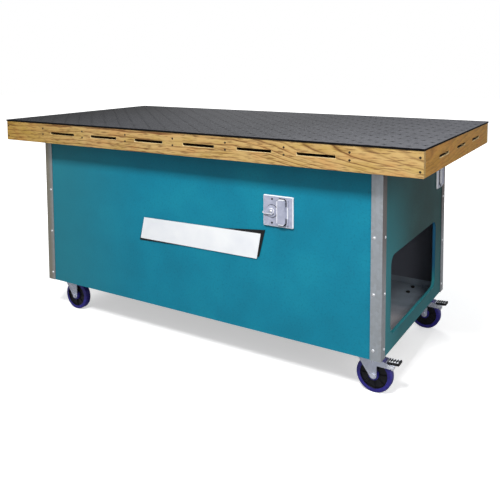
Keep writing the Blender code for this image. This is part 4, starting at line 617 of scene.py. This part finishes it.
screw = round_head((0.0010, 0.0003), (0.0011, 0), (0.0003, -0.0009), sides=16,
                   radius=SCREW_RADIUS, depth=SCREW_DEPTH, proud=0.0001, angle=35)
joist_middles = [0.5 * (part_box(joist)[0][0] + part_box(joist)[1][0]) for joist in JOISTS]
screw_places = [(x, rail_high[2] - drop) for x in joist_middles for drop in JOIST_SCREW_DROPS]
screw_places += [(side * (rail_high[0] - END_SCREW_INSET), rail_high[2] - drop)
                 for side in (-1, 1) for drop in END_SCREW_DROPS]
for rail, face, turn in (("front", rail_low[1], 0), ("rear", -rail_low[1], 180)):
    screws = set_out(screw, [facing((x, face, z), turn) for x, z in screw_places])
    seat(screws, f"{rail}_rail_screws", black_phosphate, "zinc_plate", "cabinet")


# Perforated mat: a 6.4 mm rubber sheet that covers the frame, punched with 8 mm holes on
# every other point of a 38.1 mm lattice. It lies loose.
HOLE_PITCH = 0.0381
HOLE_COLUMNS = 48
HOLE_ROWS = 23
HOLE_RADIUS = 0.0041
# The bevel's profile that makes a rounded vertex cut a circle about the vertex.
CIRCLE_PROFILE = 0.0858
mat_low, mat_high = (Vector(corner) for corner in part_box("top_mat"))
lattice_length = (HOLE_COLUMNS - 1) * HOLE_PITCH
lattice_width = (HOLE_ROWS - 1) * HOLE_PITCH
bpy.ops.mesh.primitive_grid_add(x_subdivisions=HOLE_COLUMNS - 1, y_subdivisions=HOLE_ROWS - 1,
                                size=1, location=(0, 0, 0))
mat = bpy.context.object
bpy.ops.object.mode_set(mode="EDIT")
bpy.ops.mesh.select_all(action="SELECT")
bpy.ops.transform.resize(value=(lattice_length, lattice_width, 1))
bpy.ops.mesh.select_mode(type="EDGE")
bpy.ops.mesh.region_to_loop()
bpy.ops.mesh.extrude_edges_move()
bpy.ops.transform.resize(value=((mat_high.x - mat_low.x) / lattice_length,
                                (mat_high.y - mat_low.y) / lattice_width, 1))
bpy.ops.mesh.select_all(action="SELECT")
bpy.ops.transform.translate(value=(0, 0, mat_high.z))
bpy.ops.mesh.normals_make_consistent(inside=False)


def on_hole(middle, vertex):
    """Whether a lattice point carries a hole: every other one, as on a chess board."""
    column = (middle.x + 0.5 * lattice_length) / HOLE_PITCH
    row = (middle.y + 0.5 * lattice_width) / HOLE_PITCH
    inside = -0.1 < column < HOLE_COLUMNS - 0.9 and -0.1 < row < HOLE_ROWS - 0.9
    return inside and (round(column) + round(row)) % 2 == 0


pick(mat, "verts", on_hole)
bpy.ops.mesh.bevel(offset=HOLE_RADIUS, segments=3, profile=CIRCLE_PROFILE, affect="VERTICES")
pick(mat, "faces", lambda middle, face: face.calc_area() < 1.2 * math.pi * HOLE_RADIUS ** 2)
bpy.ops.mesh.delete(type="FACE")
bpy.ops.object.mode_set(mode="OBJECT")
sheet = mat.modifiers.new("sheet", "SOLIDIFY")
sheet.thickness = mat_high.z - mat_low.z
bpy.ops.object.modifier_apply(modifier=sheet.name)

# Moulded black rubber: matt, greyed on top by dust and rubbing, with a painted highlight that
# lightens the top from the dark left end to the pale right end, and the scuffs of the work laid
# on it, more towards the right and drawn at 7 mm so that they show. Its cut edges and the walls
# of its holes stay black.
mat_rubber, tree, shader, place = new_material("dusty_black_rubber_with_painted_light", roughness=0.75,
                                               specular=0.05)
apart = add_node(tree, "SeparateXYZ", {0: place})
wear_and_highlight = add_node(tree, "MapRange", {"Value": apart.outputs["Z"], "From Min": mat_high.z - 0.0004,
                                   "From Max": mat_high.z - 0.0001})
# Painted light: the top lightens from the left end to the right end.
along = add_node(tree, "MapRange", {"Value": apart.outputs["X"], "From Min": mat_low.x,
                                    "From Max": mat_high.x})
dust_and_painted_light = add_node(tree, "ValToRGB", {"Fac": along},
                  ((0.0, "18191B"), (0.3, "343539"), (0.65, "333438"), (1.0, "606166")))
dusting = add_node(tree, "TexNoise", {"Vector": place, "Scale": 9, "Detail": 6,
                                      "Roughness": 0.65})
clouds = add_node(tree, "ValToRGB", {"Fac": dusting}, ((0.3, "D4D4D6"), (0.7, "FFFFFF")))
dust_and_painted_light = add_node(tree, "Mix", {0: 1.0, 6: dust_and_painted_light, 7: clouds}, data_type="RGBA",
                  blend_type="MULTIPLY")
scuffs = add_node(tree, "TexNoise", {"Vector": place, "Scale": 140, "Detail": 4,
                                     "Roughness": 0.75})
scuffing = add_node(tree, "MapRange", {"Value": along, "To Min": 0.16, "To Max": 0.66})
rubbed = add_node(tree, "MapRange", {"Value": scuffs, "From Min": 0.50, "From Max": 0.64,
                                     "To Max": scuffing})
top = add_node(tree, "Mix", {0: rubbed, 6: dust_and_painted_light, 7: "7A7C82"}, data_type="RGBA")
# Air drawn down each hole keeps a ring of rubber clean and black about it, 5.5 to 11.5 mm
# from its middle. The holes are a lattice turned by 45 degrees, one to a cell.
CLEAN_RING = (0.0055, 0.0115)
HOLE_TURN = 1 / (math.sqrt(2) * HOLE_PITCH)
lattice = add_node(tree, "Mapping", {"Vector": place, "Location": (0.75, 0.75, 0),
                                     "Rotation": (0, 0, math.radians(45)),
                                     "Scale": (HOLE_TURN, HOLE_TURN, 0)})
cell = add_node(tree, "VectorMath", {0: lattice}, operation="FRACTION")
cell = add_node(tree, "VectorMath", {0: cell, 1: (0.5, 0.5, 0)}, operation="DISTANCE")
clean = add_node(tree, "MapRange", {"Value": cell, "From Min": CLEAN_RING[0] * HOLE_TURN,
                                    "From Max": CLEAN_RING[1] * HOLE_TURN, "To Min": 0.6,
                                    "To Max": 0.0})
top = add_node(tree, "Mix", {0: clean, 6: top, 7: "17181A"}, data_type="RGBA")
rubber = add_node(tree, "Mix", {0: wear_and_highlight, 6: "0C0C0E", 7: top}, data_type="RGBA")
skin = add_node(tree, "Bump", {"Height": scuffs, "Strength": 0.3, "Distance": 0.001})
feed(shader, {"Base Color": rubber, "Normal": skin})
seat(mat, "perforated_mat", mat_rubber, "top_mat", "cabinet", "top_mat")


# Front cover: a two-gang weatherproof plate of cast aluminium over a steel box, with a
# rotary lever on a round boss and a sprung lid over a duplex receptacle.

# Cast aluminium under light grey paint: an even grey-lilac with a fine sand texture, with a
# painted highlight along its edges.
EDGE_HIGHLIGHT_BAND = (0.0030, 0.0018)


def highlight_edged_paint(name, node, across):
    """Grey paint on a casting with a painted highlight in a 2.4 mm band along its face's edges."""
    material, tree, shader, place, _, paint = mottled(
        name, ((0.3, "9B9FB2"), (0.7, "B0B3C6")), scale=60, roughness=0.42)
    low, high = (Vector(corner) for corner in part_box(node))
    middle = 0.5 * (low + high)
    half = 0.5 * (high - low)
    apart = add_node(tree, "SeparateXYZ", {0: place})
    bands = []
    for at in (across, 2):
        away = add_node(tree, "Math", {0: apart.outputs[at], 1: middle[at]},
                        operation="SUBTRACT")
        away = add_node(tree, "Math", {0: away}, operation="ABSOLUTE")
        bands.append(add_node(tree, "MapRange", {"Value": away,
                                                 "From Min": half[at] - EDGE_HIGHLIGHT_BAND[0],
                                                 "From Max": half[at] - EDGE_HIGHLIGHT_BAND[1]}))
    wear_and_highlight = add_node(tree, "Math", {0: bands[0], 1: bands[1]}, operation="MAXIMUM")
    coat = add_node(tree, "Mix", {0: wear_and_highlight, 6: paint, 7: "F4F5FA"}, data_type="RGBA")
    sand = add_node(tree, "TexNoise", {"Vector": place, "Scale": 700})
    pits = add_node(tree, "Bump", {"Height": sand, "Strength": 0.2, "Distance": 0.0005})
    feed(shader, {"Base Color": coat, "Normal": pits})
    return material


# A painted highlight on the eased edges: bright aluminium, lightly scratched.
highlight_edge = mottled("painted_highlight_aluminium_edge", ((0.35, "DCDFE8"), (0.6, "FFFFFF")), scale=250,
                    roughness=0.3, metallic=0.4)[0]


def casting(node, name, paint, body, ease, across=0):
    """A painted casting of one of the covers, with a painted highlight on its eased edges."""
    eased_copy(node, name, highlight_edged_paint(paint, node, across), "cast_aluminium", body, ease,
               highlight_edge)


casting("front_cover_plate", "front_cover", "painted_front_casting", "cabinet", ease=0.0011)
casting("switch_lever", "switch_handle_lever", "painted_lever_casting", "switch_handle",
        ease=0.0012)
casting("outlet_lid", "outlet_flip_lid", "painted_outlet_lid", "receptacle_lid", ease=0.0009)

# Moulded black rubber: matt, with a faint grain from its mould.
black_rubber = mottled("moulded_black_rubber", ((0.3, "0B0B0D"), (0.7, "1A1A1E")), scale=500,
                       roughness=0.6, specular=0.3)[0]


def block_start(middle, size):
    """A block open for editing."""
    bpy.ops.mesh.primitive_cube_add(size=1, location=middle, scale=size)
    bpy.ops.object.transform_apply()
    bpy.ops.object.mode_set(mode="EDIT")
    return bpy.context.object


def pierce(piece, band):
    """Opens a block or a disc from front to back, but for a band, and ends its editing."""
    pick(piece, "faces", lambda middle, face: abs(face.normal.y) > 0.9)
    inset((band, 0))
    bpy.ops.mesh.bridge_edge_loops()
    bpy.ops.object.mode_set(mode="OBJECT")


# A gasket frames each lid, with chamfered corners as the lid has.
LID_WIDTH = 0.0320
LID_HEIGHT = 0.0880
GASKET_BAND = 0.0029
GASKET_RISE = 0.0024
GASKET_CHAMFER = 0.0087
LID_GAP = 0.0003
lid_low, lid_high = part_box("outlet_lid")
cover_face = lid_high[1] + LID_GAP
cover_level = 0.5 * (lid_low[2] + lid_high[2])
gasket = block_start((0, -0.5 * GASKET_RISE, 0),
                     (LID_WIDTH + 2 * GASKET_BAND, GASKET_RISE, LID_HEIGHT + 2 * GASKET_BAND))
pick(gasket, "edges", lambda middle, edge: abs(middle.x) > 0.5 * LID_WIDTH
     and abs(middle.z) > 0.5 * LID_HEIGHT)
bpy.ops.mesh.bevel(offset=GASKET_CHAMFER, segments=1, affect="EDGES")
pierce(gasket, GASKET_BAND - LID_GAP)
seat(moved_copy(gasket, facing((lid_low[0] + 0.5 * LID_WIDTH, cover_face, cover_level))),
     "outlet_lid_gasket", black_rubber, "black_plastic", "cabinet")

# The switch's boss has a rubber seal round it. Black screws hold the switch, and a domed
# screw holds the lever.
SWITCH_X = 0.3712
SEAL_RADIUS = 0.0223
SEAL_BAND = 0.0014
DOME_RADIUS = 0.0046
DOME_RIM = 0.0012
DEVICE_SCREW_RISE = 0.0415
seal = round_start(40, SEAL_RADIUS, 0.0010, (0, -0.0004, 0))
pierce(seal, SEAL_BAND)
seat(moved_copy(seal, facing((SWITCH_X, cover_face, cover_level))), "switch_boss_seal",
     black_rubber, "black_plastic", "cabinet")
bpy.data.objects.remove(seal)
screws = set_out(screw, [facing((SWITCH_X, cover_face, cover_level + side * DEVICE_SCREW_RISE))
                         for side in (-1, 1)])
seat(screws, "front_cover_screws", black_phosphate, "zinc_plate", "cabinet")
dome = round_head((0.0006, 0.0007), (0.0013, 0.0006), (0.0015, 0.0002), sides=20,
                  radius=DOME_RADIUS, depth=DOME_RIM, proud=0.0004, angle=50)
seat(moved_copy(dome, facing((SWITCH_X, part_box("switch_lever")[0][1], cover_level))),
     "lever_screw", rivet_aluminium, "zinc_plate", "switch_handle")
bpy.data.objects.remove(dome)

# Moulded plastics: smooth, with a soft sheen. The ivory has yellowed unevenly.
ivory_plastic = mottled("moulded_ivory_plastic", ((0.3, "D2CCB8"), (0.7, "E0DCD0")), scale=50,
                        roughness=0.35)[0]
black_plastic = mottled("moulded_black_plastic", ((0.3, "121214"), (0.7, "202024")), scale=80,
                        roughness=0.4)[0]
dress(ivory_plastic, "duplex_receptacle")
dress(black_plastic, "toggle_switch")
dress(galvanised, "front_box")


# End cover: the same casting for one gang, by the rear post, with its lid over the power
# inlet. A conduit runs from the inlet to the box, and a lead from the box to the motor.
END_SCREW_RISE = 0.0510
casting("end_cover_plate", "end_cover", "painted_end_casting", "cabinet", ease=0.0009, across=1)
casting("end_lid", "end_flip_lid", "painted_end_lid", "inlet_lid", ease=0.0009, across=1)
end_lid_low, end_lid_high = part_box("end_lid")
end_face = end_lid_low[0] - LID_GAP
end_middle = end_lid_low[1] + 0.5 * LID_WIDTH
end_level = 0.5 * (end_lid_low[2] + end_lid_high[2])
seat(moved_copy(gasket, facing((end_face, end_middle, end_level), 90)), "end_lid_gasket",
     black_rubber, "black_plastic", "cabinet")
screws = set_out(screw, [facing((end_face, end_middle, end_level + side * END_SCREW_RISE), 90)
                         for side in (-1, 1)])
seat(screws, "end_cover_screws", black_phosphate, "zinc_plate", "cabinet")
bpy.data.objects.remove(gasket)
bpy.data.objects.remove(screw)
dress(black_plastic, "power_inlet", "motor_lead")
dress(galvanised, "supply_conduit")


# Sign: a white-faced board on a black backing, fixed to the front panel a little askew. It
# is bare.

# Gloss white enamel on tin: smooth and almost even.
FACE_DEPTH = 0.0008
sign_enamel, tree, shader, place, _, white = mottled(
    "white_sign_enamel", ((0.3, "E6E9EE"), (0.7, "F2F4F6")), scale=12, roughness=0.3)
apart = add_node(tree, "SeparateXYZ", {0: place})
raised = add_node(tree, "Math", {0: apart.outputs["Y"],
                                 1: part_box("sign_plate")[0][1] + FACE_DEPTH},
                  operation="LESS_THAN")
sign_coat = add_node(tree, "Mix", {0: raised, 6: "0A0A0C", 7: white}, data_type="RGBA")
feed(shader, {"Base Color": sign_coat})
eased_copy("sign_plate", "blank_sign", sign_enamel, "sign_white", "cabinet", ease=0.0003)


# Casters: bright zinc-plated pressings. A plate bolted to the floor pan, a fork that turns
# under it on a ball race, and an axle bolt with a hexagon at each end.
FLOOR_TOP = 0.1437

# Bright zinc plate: a bluish satin silver with faint clouds from the bath, brighter where
# shoes polish the brakes.
zinc_plate, tree, shader, place, bath, plated = mottled(
    "bright_zinc_plate", ((0.3, "C2C7DA"), (0.7, "DEE2F2")), scale=45, detail=3, metallic=0.6)
haze = add_node(tree, "MapRange", {"Value": bath, "From Min": 0.3, "From Max": 0.7,
                                   "To Min": 0.36, "To Max": 0.24})
apart = add_node(tree, "SeparateXYZ", {0: place})
shoes = add_node(tree, "MapRange", {"Value": apart.outputs["X"], "From Min": 0.760,
                                    "From Max": 0.775, "To Max": 0.9})
plated = add_node(tree, "Mix", {0: shoes, 6: plated, 7: "F6F8FF"}, data_type="RGBA")
feed(shader, {"Base Color": plated, "Roughness": haze})
for corner in CORNERS:
    plate = eased_copy(f"{corner}_caster_plate", f"{corner}_top_plate", zinc_plate, "zinc_plate",
                       "cabinet", ease=0.0005)
    # The nuts and bolt ends inside the cabinet are black, as painted shade for the dark inside.
    plate.data.materials.append(black_phosphate)
    for face in plate.data.polygons:
        face.material_index = int(face.center.z > FLOOR_TOP + 0.0002)
    eased_copy(f"{corner}_fork", f"{corner}_caster_fork", zinc_plate, "zinc_plate",
               f"{corner}_caster", ease=0.0006)
    # The axle bolts' eased edges take bright aluminium as a painted highlight.
    eased_copy(f"{corner}_axle", f"{corner}_axle_bolt", zinc_plate, "zinc_plate",
               f"{corner}_caster", ease=0.0014, rim=rivet_aluminium)


# Caster wheels: a blue-violet polyurethane tyre cast on a ribbed black nylon centre, with a
# band of the same blue round the hub and a steel bearing tube through it.
WHEEL_RADIUS = 0.0615
WHEEL_SIDES = 56
TREAD_HALF = 0.014
TREAD_ROUND = 0.004
TYRE_DEPTH = 0.0140
RIM_SLOPE = 0.001
WEB_HALF = 0.008
WEB_RIBS = 8
RIB_HEIGHT = 0.0040
RIB_ZONE = (0.028, 0.036)
HUB_RADIUS = 0.0180
HUB_SLOPE = 0.0006
HUB_RING = 0.0045
HUB_HALF = 0.0185
TUBE_RADIUS = 0.0085
BORE_RADIUS = 0.0045
NEAR = 0.0001

# Cast polyurethane: a waxy, saturated blue-violet that scuffs pale where it rolls.
tyre_urethane = mottled("cast_blue_polyurethane",
                        ((0.3, "1D1862"), (0.6, "2B2586"), (0.8, "4039A0")), scale=120,
                        detail=4, roughness=0.42)[0]

# Moulded black nylon: near black with a low sheen.
black_nylon = mottled("moulded_black_nylon", ((0.3, "08080C"), (0.7, "16161D")), scale=90,
                      roughness=0.3, specular=0.35)[0]

wheel_low, wheel_high = (Vector(corner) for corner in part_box("front_left_wheel"))
wheel_middle = 0.5 * (wheel_low + wheel_high)
wheel_middle.z = WHEEL_RADIUS


def ring_radius(point):
    """How far a point of the first wheel is from its axle."""
    return math.hypot(point.x - wheel_middle.x, point.z - wheel_middle.z)


def off_centre(point):
    """How far a point of the first wheel is from its middle plane."""
    return abs(point.y - wheel_middle.y)


def on_rib(middle, face):
    """Whether a face of the web's ring is one of the ribs, evenly spaced round it."""
    turn = math.atan2(middle.z - wheel_middle.z, middle.x - wheel_middle.x) / math.tau
    place_round = round(turn * WHEEL_SIDES - 0.5) % (WHEEL_SIDES // WEB_RIBS)
    on_web = abs(off_centre(middle) - WEB_HALF) < NEAR
    return place_round == 0 and on_web and RIB_ZONE[0] < ring_radius(middle) < RIB_ZONE[1]


first_wheel = round_start(WHEEL_SIDES, WHEEL_RADIUS, 2 * TREAD_HALF, wheel_middle)
for side in (-1, 1):
    pick(first_wheel, "faces", lambda middle, face: face.normal.y * side > 0.9)
    inset((TYRE_DEPTH, 0), (RIM_SLOPE, WEB_HALF - TREAD_HALF),
          (WHEEL_RADIUS - TYRE_DEPTH - RIM_SLOPE - HUB_RADIUS, 0),
          (HUB_SLOPE, HUB_HALF - WEB_HALF), (HUB_RING, 0),
          (HUB_RADIUS - HUB_SLOPE - HUB_RING - TUBE_RADIUS, 0), (TUBE_RADIUS - BORE_RADIUS, 0))
pick(first_wheel, "faces", lambda middle, face: ring_radius(middle) < NEAR)
bpy.ops.mesh.bridge_edge_loops()
pick(first_wheel, "faces", on_rib)
bpy.ops.mesh.inset(thickness=0.0005, depth=RIB_HEIGHT, use_individual=True)
pick(first_wheel, "edges", lambda middle, edge: ring_radius(middle) > WHEEL_RADIUS - 0.0005
     and abs(off_centre(middle) - TREAD_HALF) < NEAR)
bpy.ops.mesh.bevel(offset=TREAD_ROUND, segments=3, affect="EDGES")
finish_edit(40)
wheels = {"front_left": first_wheel}
for corner in CORNERS[1:]:
    low, high = (Vector(end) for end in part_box(f"{corner}_wheel"))
    wheels[corner] = moved_copy(first_wheel, Matrix.Translation(
        (0.5 * (low.x + high.x) - wheel_middle.x, 0.5 * (low.y + high.y) - wheel_middle.y, 0)))
zones = []
for face in first_wheel.data.polygons:
    radius = ring_radius(face.center)
    if radius > WHEEL_RADIUS - TYRE_DEPTH - 0.0002:
        zones.append(0)
    elif radius < TUBE_RADIUS:
        zones.append(2)
    else:
        zones.append(0 if HUB_RADIUS - HUB_SLOPE - HUB_RING < radius < HUB_RADIUS else 1)
for corner, wheel in wheels.items():
    seat(wheel, f"{corner}_tyred_wheel", tyre_urethane, "polyurethane_tread",
         f"{corner}_roller", f"{corner}_wheel")
    wheel.data.materials.append(black_nylon)
    wheel.data.materials.append(zinc_plate)
    for face, zone in zip(wheel.data.polygons, zones):
        face.material_index = zone


# Brake pedals on the two right-hand casters: zinc-plated pressings, each with a black rubber
# grip over it.
GRIP_START = 0.0060
GRIP_LENGTH = 0.0400
GRIP_WIDTH = 0.0356
GRIP_RISE = 0.0025
GRIP_DROP = 0.0060
GRIP_EASE = 0.0010
GRIP_BORDER = 0.0022
GRIP_TEETH = 4
PEDAL_LENGTH = 0.0440
PEDAL_RISE = 0.0032

# Teeth of the grip, with a dull silver painted highlight on their tips.
highlight_teeth = mottled("painted_highlight_grip_teeth", ((0.3, "CFD1D8"), (0.6, "F2F3F6")), scale=350)[0]


def on_field(middle, face):
    """Whether a face of the grip lies in the field of its top, inside the border."""
    return (middle.z > GRIP_RISE - NEAR and abs(middle.y) < 0.5 * GRIP_WIDTH - GRIP_BORDER
            and GRIP_BORDER < middle.x < GRIP_LENGTH - GRIP_BORDER)


grip = block_start((0.5 * GRIP_LENGTH, 0, 0.5 * (GRIP_RISE - GRIP_DROP)),
                   (GRIP_LENGTH, GRIP_WIDTH, GRIP_RISE + GRIP_DROP))
bpy.ops.mesh.select_all(action="SELECT")
bpy.ops.mesh.bevel(offset=GRIP_EASE, segments=2, affect="EDGES")
pick(grip, "faces", lambda middle, face: face.normal.z < -0.99)
inset((0.0012, 0), (0.0002, -0.0050))
pick(grip, "faces", lambda middle, face: face.normal.z > 0.99)
inset((GRIP_BORDER - GRIP_EASE, 0))
tooth_length = (GRIP_LENGTH - 2 * GRIP_BORDER) / GRIP_TEETH
for tooth in range(1, GRIP_TEETH):
    pick(grip, "faces", on_field)
    bpy.ops.mesh.bisect(plane_co=(GRIP_BORDER + tooth * tooth_length, 0, 0), plane_no=(1, 0, 0))
pick(grip, "faces", on_field)
bpy.ops.mesh.poke()
pick(grip, "faces", lambda middle, face: middle.z > GRIP_RISE - NEAR and len(face.verts) == 3
     and abs(middle.y) > 0.2 * GRIP_WIDTH)
bpy.ops.mesh.inset(thickness=0.0003, depth=0.0006, use_individual=True)
bpy.ops.object.mode_set(mode="OBJECT")
caps = [face.index for face in grip.data.polygons if face.select]
for corner in ("front_right", "rear_right"):
    eased_copy(f"{corner}_pedal", f"{corner}_brake_pedal", zinc_plate, "zinc_plate",
               f"{corner}_brake", ease=0.0004)
    low, high = (Vector(end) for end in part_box(f"{corner}_pedal"))
    start = Vector((low.x + GRIP_START, 0.5 * (low.y + high.y),
                    high.z - PEDAL_RISE * (1 - GRIP_START / PEDAL_LENGTH)))
    tilt = Matrix.Rotation(-math.atan2(PEDAL_RISE, PEDAL_LENGTH), 4, "Y")
    sleeve = moved_copy(grip, Matrix.Translation(start) @ tilt)
    seat(sleeve, f"{corner}_pedal_grip", black_rubber, "black_plastic", f"{corner}_brake")
    sleeve.data.materials.append(highlight_teeth)
    for face in caps:
        sleeve.data.polygons[face].material_index = 1
bpy.data.objects.remove(grip)
